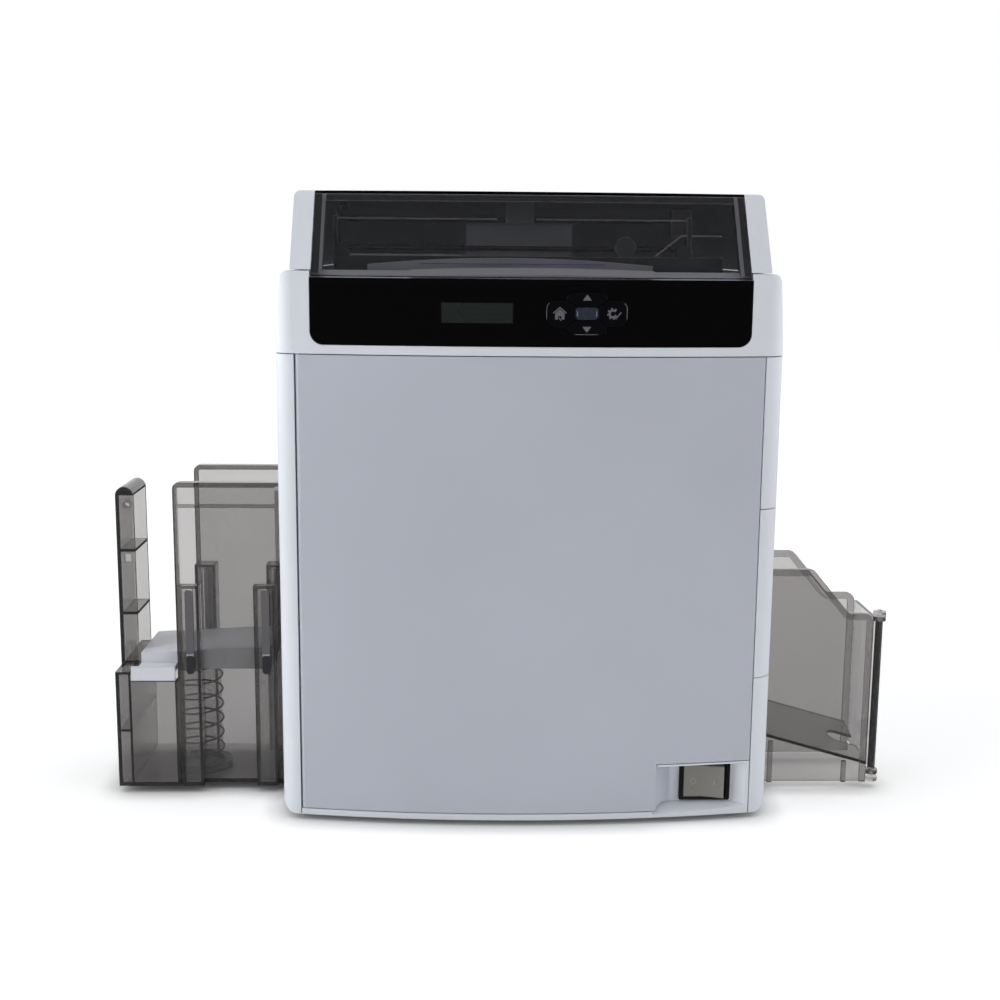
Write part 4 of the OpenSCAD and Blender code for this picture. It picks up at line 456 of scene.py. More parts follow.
def gloss_black(name, colour, roughness=(0.05, 0.13), edge=0.0004):
    """Polished black: faint dust and wiping marks in the gloss."""
    g = Graph(name)
    specks = g.ranged(g.noise(1500.0, 2.0, 0.4), 0.0, 0.004, 0.66, 0.78)
    g.set(Base_Color=g.mix(specks, colour, (0.5, 0.5, 0.52)))
    wiped = g.noise(14.0, 5.0, 0.7, g.mapped(scale=(3, 1, 1), turn=(0, 0.35, 0)))
    g.set(Roughness=g.ranged(wiped, *roughness), Specular_IOR_Level=0.12)
    g.set(Normal=g.bump(g.noise(45.0, 2.0), 0.00001, 0.3, g.rounded(edge)))
    return g.material


def satin(name, colour, roughness=(0.3, 0.5), grain=0.00002, edge=0.0004, wear_and_highlight=0.1, metallic=0.0):
    """Plain satin piece: grain, gloss variation, and lighter edges that are a painted highlight, partly wear.
    """
    g = Graph(name)
    drift = g.ranged(g.noise(25.0, 4.0), 0.0, 1.0)
    base = g.mix(drift, tone(colour, 0.9), tone(colour, 1.08))
    # Lighter edges: a painted highlight, partly wear.
    base = g.mix(g.edges(edge * 2, wear_and_highlight), base, tone(colour, 1.9))
    g.set(Base_Color=base, Metallic=metallic, Roughness=g.ranged(g.noise(140.0, 5.0, 0.6), *roughness))
    g.set(Normal=g.bump(g.noise(1600.0, 3.0), grain, 0.6, g.rounded(edge)))
    return g.material


def thin_satin(name, colour, roughness):
    """Satin for prints, rods and wires, which are too thin for a wide painted edge highlight."""
    return satin(name, colour, roughness, edge=0.0001, wear_and_highlight=0.0)


def zoned(name, axis, start, zones):
    """Satin plastic with grain, whose colour depends on how far past start a point lies along an axis of the
    shared frame: the first zone's, then each (low, high, colour) laid over it, with lighter edges as a
    painted highlight."""
    g = Graph(name)
    split = g.add("ShaderNodeSeparateXYZ")
    g.join(g.place, split.inputs[0])
    base = zones[0]
    for low, high, colour in zones[1:]:
        inside = g.sums("MULTIPLY", g.sums("GREATER_THAN", split.outputs[axis], start + low),
                        g.sums("LESS_THAN", split.outputs[axis], start + high))
        base = g.mix(inside, base, colour)
    base = g.mix(g.ranged(g.noise(25.0, 4.0), 0.0, 0.2), base, (0.02, 0.02, 0.022))
    # Lighter edges: a painted highlight.
    base = g.mix(g.edges(0.001, 0.9), base, (0.75, 0.75, 0.82))
    g.set(Base_Color=base, Roughness=g.ranged(g.noise(140.0, 5.0, 0.6), 0.3, 0.5))
    g.set(Normal=g.bump(g.noise(1600.0, 3.0), 0.00002, 0.6, g.rounded(0.0004)))
    return g.material


def plated(name, colour, streak=(1, 1, 30), roughness=(0.22, 0.42)):
    """Zinc-plated sheet: pale spangle, drawn streaks along one axis and a soft metal gloss."""
    g = Graph(name)
    cells = g.put(g.add("ShaderNodeTexVoronoi"), Scale=220.0)
    g.join(g.place, cells.inputs["Vector"])
    spangle = g.ranged(cells.outputs["Distance"], 0.0, 1.0, 0.0, 0.8)
    g.set(Base_Color=g.mix(spangle, tone(colour, 0.88), tone(colour, 1.06)), Metallic=1.0)
    drawn = g.noise(900.0, 3.0, 0.6, g.mapped(scale=streak))
    g.set(Roughness=g.ranged(drawn, *roughness), Normal=g.bump(drawn, 0.00001, 0.4, g.rounded(0.0003)))
    return g.material


def ground_rubber(name, colour, cell=1300.0):
    """Ground rubber: fine pitted skin, chalky high spots."""
    g = Graph(name)
    pits = g.noise(cell, 4.0, 0.7)
    g.set(Base_Color=g.mix(g.ranged(pits, 0.0, 0.5), tone(colour, 0.8), tone(colour, 1.8)))
    g.set(Roughness=g.ranged(g.noise(180.0), 0.55, 0.8), Normal=g.bump(pits, 0.00006, 0.6))
    return g.material


def wound(name, centre, colour, coat):
    """Film wound on a spool: fine rings round the spool's own axis, under a clear coat."""
    g = Graph(name)
    rings = g.add("ShaderNodeTexWave", wave_type="RINGS", rings_direction="Y")
    g.put(rings, Scale=1 / WINDING / WAVE_RATE, Distortion=0.6, Detail=2.0)
    g.join(g.mapped(place=centre), rings.inputs["Vector"])
    g.set(Base_Color=g.mix(rings.outputs["Fac"], tone(colour, 0.8), tone(colour, 1.2)))
    g.set(Roughness=g.ranged(rings.outputs["Fac"], 0.22, 0.4, 0.0, 1.0), Specular_IOR_Level=0.6)
    g.set(Normal=g.bump(rings.outputs["Fac"], 0.00005, 0.5, g.rounded(0.0003)), Coat_Weight=coat)
    return g.material


def coated_film(name, colour, shift):
    """Thin coated film: its tone turns from colour to shift at grazing angles, a painted sheen."""
    g = Graph(name)
    sheen_share = g.put(g.add("ShaderNodeLayerWeight"), Blend=0.4).outputs["Facing"]
    g.set(Base_Color=g.mix(sheen_share, colour, shift), Metallic=0.55)
    waves = g.noise(60.0, 3.0, 0.5, g.mapped(scale=(1, 12, 1)))
    g.set(Roughness=g.ranged(waves, 0.08, 0.24), Normal=g.bump(waves, 0.00006, 0.4))
    return g.material


def circuit(name, mask, copper):
    """Circuit board: solder mask over a grid of tracks, with bright pads scattered over it."""
    g = Graph(name)
    tracks = g.add("ShaderNodeTexBrick")
    g.put(tracks, Scale=70.0, Mortar_Size=0.03, Brick_Width=0.7, Row_Height=0.24)
    g.join(g.mapped(turn=(math.pi / 2, 0, 0)), tracks.inputs["Vector"])
    cells = g.put(g.add("ShaderNodeTexVoronoi"), Scale=260.0)
    g.join(g.place, cells.inputs["Vector"])
    pads = g.ranged(cells.outputs["Distance"], 1.0, 0.0, 0.1, 0.16)
    base = g.mix(g.ranged(tracks.outputs["Fac"], 0.0, 0.6, 0.0, 1.0), mask, tone(mask, 1.8))
    g.set(Base_Color=g.mix(pads, base, copper), Roughness=g.ranged(g.noise(300.0), 0.25, 0.45))
    g.set(Normal=g.bump(tracks.outputs["Fac"], 0.00004, 0.4))
    return g.material


def display_glass(name, colour):
    """Unlit display behind a clear lens: a dark green-grey cell with a faint even line pattern."""
    g = Graph(name)
    rows = g.put(g.add("ShaderNodeTexWave", bands_direction="Z"), Scale=95.0, Distortion=0.0)
    g.join(g.place, rows.inputs["Vector"])
    base = g.mix(g.ranged(rows.outputs["Fac"], 0.0, 1.0, 0.0, 1.0), tone(colour, 0.93), tone(colour, 1.07))
    g.set(Base_Color=g.mix(g.ranged(g.noise(40.0), 0.0, 0.25), base, tone(colour, 1.3)))
    g.set(Roughness=g.ranged(g.noise(20.0), 0.2, 0.3), Coat_Weight=0.5, Coat_Roughness=0.05)
    g.set(Normal=g.bump(g.noise(1200.0), 0.000004, 0.4, g.rounded(0.0003)))
    return g.material


def dress(material, *nodes):
    """Gives CAD nodes their finish."""
    for node in nodes:
        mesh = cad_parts[node].data
        mesh.materials.clear()
        mesh.materials.append(material)


# ---- surfaces

# How far ahead of a node the lines start that find its front, and how many of them have to meet it.
AHEAD, MIN_HITS = 0.01, 5
# The cosine at which a mitre stops growing, and the points round a wire.
SHARPEST, WIRE_POINTS = 0.4, 12


def closed_band(rows):
    """Faces of a grid of rows x columns points whose columns close on themselves, with an end cap at
    the first and the last row. Every quad joins point (i, j) to its next row and next column."""
    count, around = rows.shape[:2]
    i, j = np.meshgrid(np.arange(count - 1), np.arange(around), indexing="ij")
    k = (j + 1) % around
    quads = np.stack([i * around + j, i * around + k, (i + 1) * around + k, (i + 1) * around + j], -1)
    faces = quads.reshape(-1, 4).tolist()
    faces.append(list(range(around))[::-1])
    faces.append([(count - 1) * around + n for n in range(around)])
    return faces


def piece(name, parts, material, body):
    """One object from grids of closed bands, riding on body if one is named."""
    points, faces = [], []
    for rows in parts:
        start = sum(len(p) for p in points)
        faces += [[start + n for n in face] for face in closed_band(rows)]
        points.append(rows.reshape(-1, 3))
    mesh = bpy.data.meshes.new(name)
    mesh.from_pydata(np.vstack(points).tolist(), [], faces)
    mesh.validate()
    mesh.update()
    thing = bpy.data.objects.new(name, mesh)
    bpy.context.scene.collection.objects.link(thing)
    outwards(thing)
    mesh.materials.append(material)
    if body:
        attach(thing, body)
    return thing


def outwards(thing):
    """Turns a closed mesh's faces outwards."""
    work = bmesh.new()
    work.from_mesh(thing.data)
    bmesh.ops.recalc_face_normals(work, faces=work.faces)
    work.to_mesh(thing.data)
    work.free()


def front_of(node, low, high):
    """A function (x, z) -> y of the node's front face between two corners, in metres: the plane or
    shallow curve y = a + b x + c x^2 + d z that fits nine points where lines along +Y first meet it."""
    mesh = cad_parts[node].data
    tree = BVHTree.FromPolygons([v.co for v in mesh.vertices], [p.vertices for p in mesh.polygons])
    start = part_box(node)[0].y - AHEAD
    xs, zs = np.meshgrid(np.linspace(low[0], high[0], 3), np.linspace(low[1], high[1], 3))
    hits = [tree.ray_cast(Vector((x, start, z)), Vector((0, 1, 0)))[0] for x, z in zip(xs.flat, zs.flat)]
    kept = np.array([(h.x, h.y, h.z) for h in hits if h is not None])
    if len(kept) < MIN_HITS:
        raise RuntimeError(f"no front face under the mark on {node}")
    terms = np.column_stack([np.ones(len(kept)), kept[:, 0], kept[:, 0] ** 2, kept[:, 2]])
    fit = np.linalg.lstsq(terms, kept[:, 1], rcond=None)[0]
    return lambda x, z: fit[0] + fit[1] * x + fit[2] * x * x + fit[3] * z


def printed(left, right, face, proud):
    """A printed band between two outlines given as (x, z) points: each station has four points, two
    on the ink's face, proud of the surface, and two just inside the surface."""
    left, right = np.asarray(left, float), np.asarray(right, float)
    flat = np.stack([left, right, right, left], 1)
    depth = np.array([-proud, -proud, proud, proud])
    y = face(flat[..., 0], flat[..., 1]) + depth
    return np.stack([flat[..., 0], y, flat[..., 1]], -1)


def stroke(points, width):
    """The two sides of a line of even width through points: each point moved half the width along
    the line's own left and right, mitred at the corners."""
    points = np.asarray(points, float)
    steps = np.diff(points, axis=0)
    steps /= np.linalg.norm(steps, axis=1, keepdims=True)
    ahead, behind = np.vstack([steps, steps[-1:]]), np.vstack([steps[:1], steps])
    bisector = ahead + behind
    bisector /= np.linalg.norm(bisector, axis=1, keepdims=True)
    side = np.column_stack([-bisector[:, 1], bisector[:, 0]])
    stretch = 1 / np.maximum(SHARPEST, (bisector * ahead).sum(1, keepdims=True))
    return points + side * stretch * width / 2, points - side * stretch * width / 2


def centre_of(node):
    """The middle of a node's box, as (x, z)."""
    low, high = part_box(node)
    return np.array([(low.x + high.x) / 2, (low.z + high.z) / 2])


def rounded_outline(centre, width, height, radius, steps=6):
    """Points anticlockwise round a rectangle whose corners are quarter circles of the given radius."""
    angle = np.linspace(0, math.pi / 2, steps)
    arc = np.column_stack([np.cos(angle), np.sin(angle)]) * radius
    half = np.array([width / 2 - radius, height / 2 - radius])
    corners = []
    for turn in range(4):
        c, s = round(math.cos(turn * math.pi / 2)), round(math.sin(turn * math.pi / 2))
        spin = np.array([(c, s), (-s, c)])
        corners.append(arc @ spin + np.array([(1, 1), (-1, 1), (-1, -1), (1, -1)])[turn] * half)
    return np.vstack(corners) + centre


def slab(centre, width, height, front, back, radius, bevel):
    """A bar standing in the XZ plane with rounded corners: its outline runs from back to front, and draws
    in by bevel over the last bevel of depth."""
    full = rounded_outline(centre, width, height, radius)
    small = rounded_outline(centre, width - 2 * bevel, height - 2 * bevel, radius - bevel)
    rows = ((full, back), (full, front + bevel), (small, front))
    return np.stack([np.column_stack([line[:, 0], np.full(len(line), y), line[:, 1]]) for line, y in rows])


def rod(points, depth, radius):
    """A round wire whose centre follows points in the XZ plane at one depth: at each point the section is
    centre + radius (cos a across + sin a Y), where across is square to the mean run there."""
    line = np.array(points, dtype=float)
    run = np.gradient(line, axis=0)
    run /= np.linalg.norm(run, axis=1)[:, None]
    around = np.arange(WIRE_POINTS) * 2 * math.pi / WIRE_POINTS
    x = line[:, :1] - run[:, 1:] * radius * np.cos(around)
    z = line[:, 1:] + run[:, :1] * radius * np.cos(around)
    y = depth + np.ones((len(line), 1)) * radius * np.sin(around)
    return np.stack([x, y, z], -1)


def coil(low, high, wire, turns):
    """A round wire wound upright between two corners: its centre runs as (R cos t, R sin t, height), and the
    pitch closes up over the first and the last turn. The wire's section is a circle in the plane of the
    radius and the upright."""
    middle, tall, closed = (low + high) / 2, (high.z - low.z) - wire, wire * CLOSED_PITCH
    turn = np.linspace(0, 1, turns * COIL_STEPS + 1)
    climb = np.interp(turn * turns, [0, 1, turns - 1, turns], [0, closed, tall - closed, tall])
    angle = 2 * math.pi * turns * turn[:, None]
    around = np.arange(WIRE_POINTS) * 2 * math.pi / WIRE_POINTS
    reach = (high.x - low.x) / 2 - wire / 2 + wire / 2 * np.cos(around)
    height = (low.z + wire / 2 + climb)[:, None] + wire / 2 * np.sin(around)
    return np.stack([middle.x + reach * np.cos(angle), middle.y + reach * np.sin(angle), height], -1)


# ---- pictograms

# The width of their lines, as a share of a pictogram's size.
ROOF_LINE, FINE_LINE = 0.1, 0.09


def house(centre, size, face, proud):
    """A house: a chevron roof, walls round a doorway, and a short slanting line at its foot."""
    half = size / 2
    roof = stroke(centre + np.array([(-1.12, 0.06), (0, 1.0), (1.12, 0.06)]) * half, size * ROOF_LINE)
    outer = centre + np.array([(-0.8, -1), (-0.8, 0.08), (0, 0.72), (0.8, 0.08), (0.8, -1)]) * half
    inner = centre + np.array([(-0.28, -1), (-0.28, -0.45), (0, -0.45), (0.28, -0.45), (0.28, -1)]) * half
    tail = stroke(centre + np.array([(-0.1, -0.7), (0.22, -1.25)]) * half, size * FINE_LINE)
    return [printed(*roof, face, proud), printed(outer, inner, face, proud), printed(*tail, face, proud)]


def gear(centre, size, face, proud):
    """An open gear with a double tick: the outer radius swings between root and tip as a clipped sine of
    eight waves a turn, the inner radius stays, and the ring is open on its right."""
    angle = np.linspace(math.radians(38), math.radians(318), 141)
    tooth = np.clip(2.2 * np.sin(8 * angle), -1, 1)
    outer, inner = size * (0.43 + 0.07 * tooth), size * 0.2
    ray = np.column_stack([np.cos(angle), np.sin(angle)])
    hub = centre + np.array([-0.08, 0]) * size
    ring = printed(hub + ray * outer[:, None], hub + ray * inner, face, proud)
    tick = stroke(centre + np.array([(0.1, -0.08), (0.28, -0.3), (0.62, 0.12)]) * size, size * FINE_LINE)
    leg = stroke(centre + np.array([(0.0, -0.2), (0.24, -0.46)]) * size, size * FINE_LINE)
    return [ring, printed(*tick, face, proud), printed(*leg, face, proud)]


def arrow(centre, size, face, proud, up):
    """A triangle that points up or down: its width grows evenly from the tip to the base."""
    way = 1 if up else -1
    tip, base = centre + np.array([0, 0.5 * way]) * size, centre - np.array([0, 0.5 * way]) * size
    spread = np.array([(0.02, 0), (0.75, 0)]) * size
    return [printed(np.array([tip, base]) - spread, np.array([tip, base]) + spread, face, proud)]


def ring_mark(centre, radius, width, face, proud):
    """A ring: two circles of points, ruled together."""
    angle = np.linspace(0, 2 * math.pi, 49)
    ray = np.column_stack([np.cos(angle), np.sin(angle)])
    return [printed(centre + ray * (radius + width / 2), centre + ray * (radius - width / 2), face, proud)]


def side_rim(x, middle, reach, radius, way):
    """The outer edge of a side key as (x, z) points: upright from below the middle, then over the first
    half of a quarter circle, x - way r (1 - cos a) and z + r sin a."""
    angle = np.linspace(0, math.pi / 4, 5)
    bend_x = x - way * radius * (1 - np.cos(angle))
    bend_z = middle + reach - radius + radius * np.sin(angle)
    return np.vstack([(x, middle - reach * RIM_START), np.column_stack([bend_x, bend_z])])


# ---- operators


class PRINTER_OT_mouldings(bpy.types.Operator):
    """Finish the white casing, the door, the grip and the lift platform."""

    bl_idname = "printer.mouldings"
    bl_label = "White mouldings"

    def execute(self, context):
        look = context.scene.printer_finish
        dress(moulded("white_moulding", tuple(look.white), look.grain, look.edge), *WHITE_NODES)
        dress(moulded("door_moulding", tuple(look.door), look.grain, look.edge * 1.4), "front_door")
        dress(moulded("grip_moulding", GRIP_GREY, look.grain, 0.0008, (0.25, 0.4)), "cover_grip")
        dress(moulded("platform_moulding", PLATFORM_WHITE, look.grain, 0.0008, (0.3, 0.45)), "lift_platform")
        return {"FINISHED"}


class PRINTER_OT_smoked(bpy.types.Operator):
    """Finish the smoked hopper, tray, gate and cover window."""

    bl_idname = "printer.smoked"
    bl_label = "Smoked plastics"

    def execute(self, context):
        look = context.scene.printer_finish
        tint, density = tuple(look.smoke), look.smoke_density
        dress(smoked("smoked_hopper", tint, density), "hopper_shell")
        dress(smoked("smoked_tray", tint, density * TRAY_SHARE), *TRAY_NODES)
        dress(smoked("smoked_gate", tint, density * GATE_SHARE), "output_gate")
        window = smoked("smoked_window", tuple(look.window), density * WINDOW_SHARE, (0.0, 0.01), haze=0.0)
        dress(window, "top_cover_window")
        return {"FINISHED"}


class PRINTER_OT_blacks(bpy.types.Operator):
    """Finish the control panel, the bezel, the liner and the other black pieces."""

    bl_idname = "printer.blacks"
    bl_label = "Black plastics"

    def execute(self, context):
        dress(gloss_black("panel_gloss", PANEL_BLACK), "control_panel")
        dress(gloss_black("key_gloss", KEY_BLACK, (0.08, 0.18), 0.0005), *KEY_NODES)
        dress(satin("key_centre", CENTRE_KEY, (0.2, 0.3), wear_and_highlight=0.25), "select_button")
        dress(satin("black_satin", SATIN_BLACK), *BLACK_NODES)
        dress(zoned("liner_zones", "X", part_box("cover_liner")[0].x, LINER_ZONES), "cover_liner")
        dress(moulded("rocker_grey", ROCKER_GREY, 0.00001, 0.0008, (0.25, 0.36), wear_and_highlight=0.5), "power_rocker")
        dress(display_glass("display_cell", DISPLAY_GREEN), "display_window")
        dress(ground_rubber("foot_rubber", FOOT_RUBBER), "feet")
        return {"FINISHED"}


class PRINTER_OT_works(bpy.types.Operator):
    """Finish the plates, rollers, spools, webs, motors and boards inside."""

    bl_idname = "printer.works"
    bl_label = "Mechanism"

    def execute(self, context):
        dress(plated("zinc_plate", ZINC), *PLATE_NODES)
        dress(plated("bright_steel", STEEL, (30, 1, 1), (0.15, 0.3)), *STEEL_NODES)
        dress(satin("sintered_bronze", BRONZE, (0.35, 0.55), metallic=1.0), "roller_bushes")
        dress(ground_rubber("roller_rubber", ROLLER_RUBBER), *RUBBER_ROLLERS)
        dress(ground_rubber("silicone_rubber", SILICONE_RED), "transfer_roller")
        dress(ground_rubber("belt_rubber", BELT_RUBBER, 900.0), "drive_belt")
        dress(satin("head_casting", CAST_METAL, (0.35, 0.55), 0.00005, metallic=0.9), "print_head")
        dress(satin("cassette_plastic", CASSETTE_GREY), "ribbon_cassette")
        dress(zoned("cassette_zones", "Y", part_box("film_cassette")[0].y, CASSETTE_ZONES), "film_cassette")
        dress(satin("motor_paint", MOTOR_PAINT), *MOTOR_NODES)
        for nodes, colour, coat in ((RIBBON_SPOOLS, RIBBON_BLUE, 0.2), (FILM_SPOOLS, FILM_DUSK, 0.3)):
            for node in nodes:
                x, z = centre_of(node)
                dress(wound(node + "_winding", (x, 0, z), colour, coat), node)
        dress(coated_film("dye_ribbon", DYE_YELLOW, DYE_SHEEN), "ribbon_web")
        dress(coated_film("transfer_film", FILM_VIOLET, FILM_SHEEN), "film_web")
        dress(circuit("board_mask", BOARD_GREEN, PAD_COPPER), *BOARD_NODES)
        return {"FINISHED"}


class PRINTER_OT_key_marks(bpy.types.Operator):
    """Print the pictograms on the keys."""

    bl_idname = "printer.key_marks"
    bl_label = "Key pictograms"

    def execute(self, context):
        marks = context.scene.printer_marks
        ink = thin_satin("key_ink", tuple(marks.colour), (0.35, 0.5))
        size, proud = marks.height, marks.proud
        small = size * ARROW_SHARE
        shapes = {
            "home": (lambda c, f: house(c, size, f, proud), (-0.0006, 0)),
            "menu": (lambda c, f: gear(c, size, f, proud), (0.0004, 0)),
            "up": (lambda c, f: arrow(c, small, f, proud, True), (0, ARROW_SHIFT)),
            "down": (lambda c, f: arrow(c, small, f, proud, False), (0, -ARROW_SHIFT)),
        }
        for name, (draw, shift) in shapes.items():
            centre = centre_of(name + "_button") + shift
            face = front_of(name + "_button", centre - MARK_PROBE, centre + MARK_PROBE)
            piece(name + "_mark", draw(centre, face), ink, name + "_key")
        self.rims(proud)
        return {"FINISHED"}

    def rims(self, proud):
        """Fine bright lines along the keys' outer edges, and the two bars at the ends of the centre key:
        painted highlights of the keys' chrome edges.
        """
        # The rims and bars are painted highlights of the keys' chrome edges.
        bright = thin_satin("key_rim", RIM_HIGHLIGHT, (0.3, 0.4))
        for name, way in (("home", -1), ("menu", 1)):
            low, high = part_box(name + "_button")
            x = low.x + RIM_INSET if way < 0 else high.x - RIM_INSET
            ends = sorted((x, x - way * RIM_PROBE))
            middle, reach = (low.z + high.z) / 2, (high.z - low.z) / 2 - RIM_INSET
            face = front_of(name + "_button", (ends[0], middle - MARK_PROBE), (ends[1], middle + MARK_PROBE))
            line = side_rim(x, middle, reach, KEY_CORNER - RIM_INSET, way)
            self.fit(name + "_key_rim", [(line, RIM_W)], face, proud, bright, name + "_key")
        low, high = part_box("down_button")
        low_side, high_side = low.x + DOWN_SIDE, high.x - DOWN_SIDE
        face = front_of("down_button", (low_side, low.z + DOWN_LOW), (high_side, low.z + DOWN_HIGH))
        line = [(x, low.z + RIM_INSET) for x in (low.x + KEY_CORNER, high.x - KEY_CORNER)]
        self.fit("down_key_rim", [(line, RIM_W)], face, proud, bright, "down_key")
        (low, high), (x, z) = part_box("select_button"), centre_of("select_button")
        face = front_of("select_button", (x - BAR_PROBE, z - BAR_PROBE), (x + BAR_PROBE, z + BAR_PROBE))
        ends = (low.x + BAR_INSET, high.x - BAR_INSET)
        bars = [([(end, z - BAR_DOWN), (end, z + BAR_UP)], BAR_W) for end in ends]
        self.fit("select_key_bars", bars, face, proud, bright, "select_key")

    def fit(self, name, lines, face, proud, bright, body):
        """Lines of even width, each given with its width, printed on a key's face."""
        strokes = [printed(*stroke(line, width), face, proud) for line, width in lines]
        piece(name, strokes, bright, body)


class PRINTER_OT_switch_marks(bpy.types.Operator):
    """Print a ring and a bar on the two halves of the rocker."""

    bl_idname = "printer.switch_marks"
    bl_label = "Switch marks"

    def execute(self, context):
        proud = context.scene.printer_marks.proud
        ink = thin_satin("switch_ink", SWITCH_INK, (0.35, 0.5))
        middle = centre_of("power_rocker")
        off, on = middle + (-SWITCH_SHIFT, 0), middle + (SWITCH_SHIFT, 0)
        left = front_of("power_rocker", off - SWITCH_PROBE, off + SWITCH_PROBE)
        right = front_of("power_rocker", on - SWITCH_PROBE, on + SWITCH_PROBE)
        bar = stroke([on - (0, SWITCH_BAR_HALF), on + (0, SWITCH_BAR_HALF)], SWITCH_LINE)
        shapes = ring_mark(off, RING_RADIUS, SWITCH_LINE, left, proud) + [printed(*bar, right, proud)]
        piece("switch_marks", shapes, ink, "rocker")
        return {"FINISHED"}


class PRINTER_OT_film_guides(bpy.types.Operator):
    """Fit the bright guide rods, their clamps and the edge of the film, coloured violet as a painted glint,
    on the front of the film cassette.
    """

    bl_idname = "printer.film_guides"
    bl_label = "Film guides"

    def execute(self, context):
        low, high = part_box("film_cassette")
        depth = low.y + ROD_DEPTH
        ahead, behind = depth - CLAMP_AHEAD, depth + CLAMP_BEHIND

        def placed(points):
            return np.array([low.x, high.z]) + np.array(points) * (1, -1)

        steel = thin_satin("guide_rod_steel", ROD_STEEL, (0.2, 0.3))
        rods = [rod(placed(run), depth, ROD_RADIUS) for run in GUIDE_RODS]
        piece("film_guide_rods", rods, steel, "printer_body")
        black = satin("clamp_black", SATIN_BLACK)
        clamps = [slab(middle, CLAMP_W, CLAMP_H, ahead, behind, CLAMP_CORNER, CLAMP_BEVEL)
                  for middle in placed(CLAMPS)]
        piece("guide_rod_clamps", clamps, black, "printer_body")
        # The film's edge is coloured violet as a painted glint.
        violet = thin_satin("film_edge_glint", FILM_EDGE_GLINT, (0.15, 0.3))
        edge = rod(placed(FILM_EDGE), low.y - FILM_EDGE_AHEAD, FILM_EDGE_RADIUS)
        piece("film_edge", [edge], violet, "printer_body")
        return {"FINISHED"}


class PRINTER_OT_slot_strips(bpy.types.Operator):
    """Fit the dark strips that cover the front lift slots and the pale ones behind the rear slots."""

    bl_idname = "printer.slot_strips"
    bl_label = "Slot strips"

    def execute(self, context):
        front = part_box("lift_platform")[0].y - STRIP_GAP - STRIP_T
        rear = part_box("hopper_shell")[1].y - REAR_SEAT
        half = LINE_HALF + LINE_GAP
        for name, colour, wear_and_highlight, low, high in (
            ("upper", STRIP_DUSK, 0.2, STRIP_SPLIT + half, STRIP_TOP),
            ("lower", STRIP_DARK, 0.3, STRIP_FOOT, STRIP_SPLIT - half),
            ("line", STRIP_PALE, 0.0, STRIP_SPLIT - LINE_HALF, STRIP_SPLIT + LINE_HALF),
        ):
            radius = min(STRIP_CORNER, (high - low) * LINE_ROUND)
            self.pair(name, colour, wear_and_highlight, low, high, front, STRIP_W, radius, STRIP_BEVEL)
        self.pair("rear", STRIP_GREY, 0.2, STRIP_FOOT, STRIP_TOP, rear, REAR_W, REAR_CORNER, REAR_BEVEL)
        return {"FINISHED"}

    def pair(self, name, colour, wear_and_highlight, low, high, front, width, radius, bevel):
        """Two like strips, one on either guide, between two heights over the hopper's foot."""
        finish = satin("strip_" + name, colour, (0.3, 0.45), edge=0.0002, wear_and_highlight=wear_and_highlight)
        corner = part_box("hopper_shell")[0]
        bars = [slab((corner.x + x, corner.z + (low + high) / 2), width, high - low, front, front + STRIP_T,
                     radius, bevel) for x in GUIDE_XS]
        piece("slot_strip_" + name, bars, finish, "printer_body")


class PRINTER_OT_spring(bpy.types.Operator):
    """Wind the lift spring as a round wire, in place of the CAD spring, which it hides."""

    bl_idname = "printer.spring"
    bl_label = "Lift spring"

    def execute(self, context):
        look = context.scene.printer_spring
        low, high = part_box("lift_spring")
        # The near-black colour paints the dark reflection of the steel coil.
        steel = thin_satin("spring_steel", SPRING_DARK_REFLECTION, (0.25, 0.4))
        spring = piece("spring_coil", [coil(low, high, look.wire, look.turns)], steel, None)
        for polygon in spring.data.polygons:
            polygon.use_smooth = True
        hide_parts("lift_spring")
        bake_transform(spring)
        return {"FINISHED"}


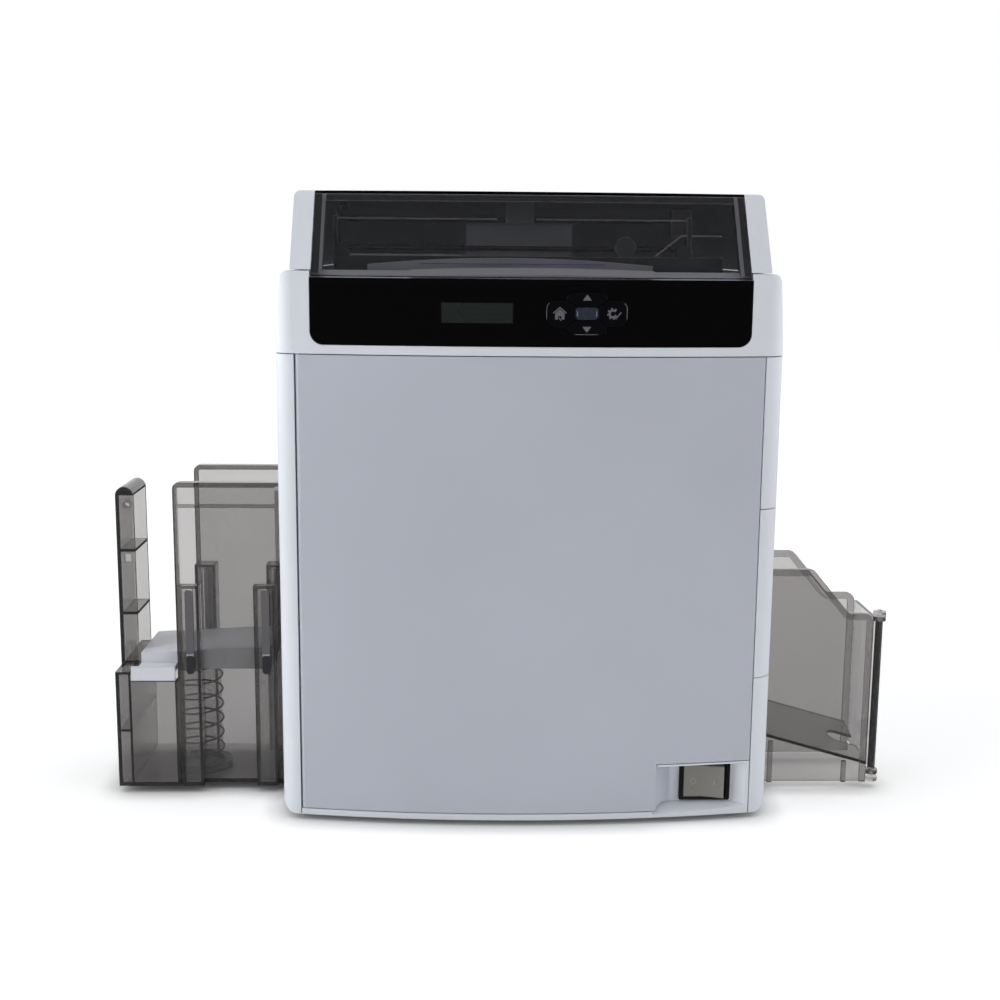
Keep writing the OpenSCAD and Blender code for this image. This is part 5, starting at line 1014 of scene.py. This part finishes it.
class PRINTER_OT_studio(bpy.types.Operator):
    """Set the pale floor, the soft dome light and the camera."""

    bl_idname = "printer.studio"
    bl_label = "Studio"

    def execute(self, context):
        studio = context.scene.printer_studio
        self.floor(studio)
        self.dome(studio)
        self.camera(context, studio)
        context.scene.view_settings.view_transform = "Standard"
        context.scene.cycles.max_bounces = LIGHT_BOUNCES
        context.scene.cycles.transmission_bounces = LIGHT_BOUNCES
        context.scene.cycles.transparent_max_bounces = LIGHT_BOUNCES
        return {"FINISHED"}

    def floor(self, studio):
        """A pale floor with a painted contact shadow near a piece. It glows for rays from the camera and
        through the smoked plastic, glows weakly for diffuse rays, and looks dark in mirrors."""
        mesh = bpy.data.meshes.new("floor")
        corners = [(x * FLOOR_HALF, y * FLOOR_HALF, 0) for x, y in ((-1, -1), (1, -1), (1, 1), (-1, 1))]
        mesh.from_pydata(corners, [], [(0, 1, 2, 3)])
        thing = bpy.data.objects.new("floor", mesh)
        bpy.context.scene.collection.objects.link(thing)
        g = Graph("pale_floor")
        path = g.add("ShaderNodeLightPath").outputs
        # Painted contact shadow: ambient occlusion darkens the floor's colour and glow near a piece.
        near = g.put(g.add("ShaderNodeAmbientOcclusion", samples=CONTACT_SAMPLES), Distance=CONTACT_REACH)
        shade = g.sums("POWER", near.outputs["AO"], CONTACT_POWER)
        base = g.mix(g.mirrored(path), g.mix(shade, FLOOR_SHADE, FLOOR_TONE), FLOOR_DARK)
        g.set(Base_Color=base, Roughness=FLOOR_ROUGHNESS, Specular_IOR_Level=0.0)
        direct = g.sums("MAXIMUM", path["Is Camera Ray"], path["Is Transmission Ray"])
        glow = g.sums("ADD", g.sums("MULTIPLY", direct, studio.floor_glow),
                      g.sums("MULTIPLY", path["Is Diffuse Ray"], FLOOR_BOUNCE))
        g.set(Emission_Color=(1, 1, 1, 1), Emission_Strength=g.sums("MULTIPLY", glow, shade))
        mesh.materials.append(g.material)

    def dome(self, studio):
        """A dome of light round the floor. Diffuse rays find a soft light above, and one at either side that
        fades towards the back. Mirrored rays find the side lights, and a dome that is dark in front and
        bright behind. All other rays find an even white."""
        world = bpy.data.worlds.new("studio_dome")
        bpy.context.scene.world = world
        world.use_nodes = True
        g = Nodes(world.node_tree)

        def ranged(source, numbers):
            start, end, low, high = numbers
            return g.ranged(source, low, high, start, end, "SMOOTHSTEP")

        def light(colour, strength):
            return g.put(g.add("ShaderNodeBackground"), Color=(*colour, 1), Strength=strength).outputs[0]

        where = g.add("ShaderNodeTexCoord").outputs["Generated"]
        split = g.add("ShaderNodeSeparateXYZ")
        g.join(where, split.inputs[0])
        x, y, z = split.outputs
        sides = g.sums("ADD", ranged(x, LEFT_BOX), ranged(x, RIGHT_BOX))
        soft = g.sums("ADD", ranged(z, TOP_LIGHT), g.sums("MULTIPLY", sides, ranged(y, SIDE_DEPTH)))
        sharp = g.sums("ADD", g.sums("MULTIPLY", ranged(y, MIRROR_DEPTH), studio.sky), sides)
        path = g.add("ShaderNodeLightPath").outputs
        lit = g.either(path["Is Diffuse Ray"], light(SEEN_TINT, 1.0), light(SOFT_TINT, soft))
        whole = g.either(g.mirrored(path), lit, light(MIRROR_TINT, sharp))
        g.join(whole, g.add("ShaderNodeOutputWorld").inputs["Surface"])

    def camera(self, context, studio):
        """Forward is +Y turned right by yaw and down by pitch; the roll turns the camera to the left."""
        forward = Vector((math.sin(studio.yaw) * math.cos(studio.pitch),
                          math.cos(studio.yaw) * math.cos(studio.pitch), -math.sin(studio.pitch)))
        right = forward.cross(Vector((0, 0, 1))).normalized()
        up = right.cross(forward)
        c, s = math.cos(studio.roll), math.sin(studio.roll)
        right, up = right * c + up * s, up * c - right * s
        data = bpy.data.cameras.new("camera")
        data.lens, data.sensor_width, data.clip_start = studio.lens, SENSOR_WIDTH, CLIP_START
        thing = bpy.data.objects.new("camera", data)
        context.scene.collection.objects.link(thing)
        turn = Matrix((right, up, -forward)).transposed().to_4x4()
        thing.matrix_world = Matrix.Translation(Vector(studio.camera)) @ turn
        context.scene.camera = thing


class PRINTER_PT_panel(bpy.types.Panel):
    """Settings and steps of the card printer's finishes."""

    bl_idname = "PRINTER_PT_panel"
    bl_label = "Card printer"
    bl_space_type = "VIEW_3D"
    bl_region_type = "UI"
    bl_category = "Card printer"

    def draw(self, context):
        for name in GROUPS:
            box = self.layout.box()
            for key in getattr(context.scene, name).bl_rna.properties.keys():
                if key not in ("rna_type", "name"):
                    box.prop(getattr(context.scene, name), key)
        for step in STEPS:
            self.layout.operator(step.bl_idname)


GROUPS = {
    "printer_finish": PrinterFinish,
    "printer_marks": PrinterMarks,
    "printer_spring": PrinterSpring,
    "printer_studio": PrinterStudio,
}
STEPS = (
    PRINTER_OT_studio, PRINTER_OT_mouldings, PRINTER_OT_smoked, PRINTER_OT_blacks, PRINTER_OT_works,
    PRINTER_OT_key_marks, PRINTER_OT_switch_marks, PRINTER_OT_film_guides, PRINTER_OT_slot_strips,
    PRINTER_OT_spring,
)
CLASSES = (*GROUPS.values(), *STEPS, PRINTER_PT_panel)


def register():
    for each in CLASSES:
        bpy.utils.register_class(each)
    for name, group in GROUPS.items():
        setattr(bpy.types.Scene, name, bpy.props.PointerProperty(type=group))


def unregister():
    for name in GROUPS:
        delattr(bpy.types.Scene, name)
    for each in reversed(CLASSES):
        bpy.utils.unregister_class(each)


def main():
    register()
    for step in STEPS:
        area, name = step.bl_idname.split(".")
        getattr(getattr(bpy.ops, area), name)()


if __name__ == "__main__":
    main()
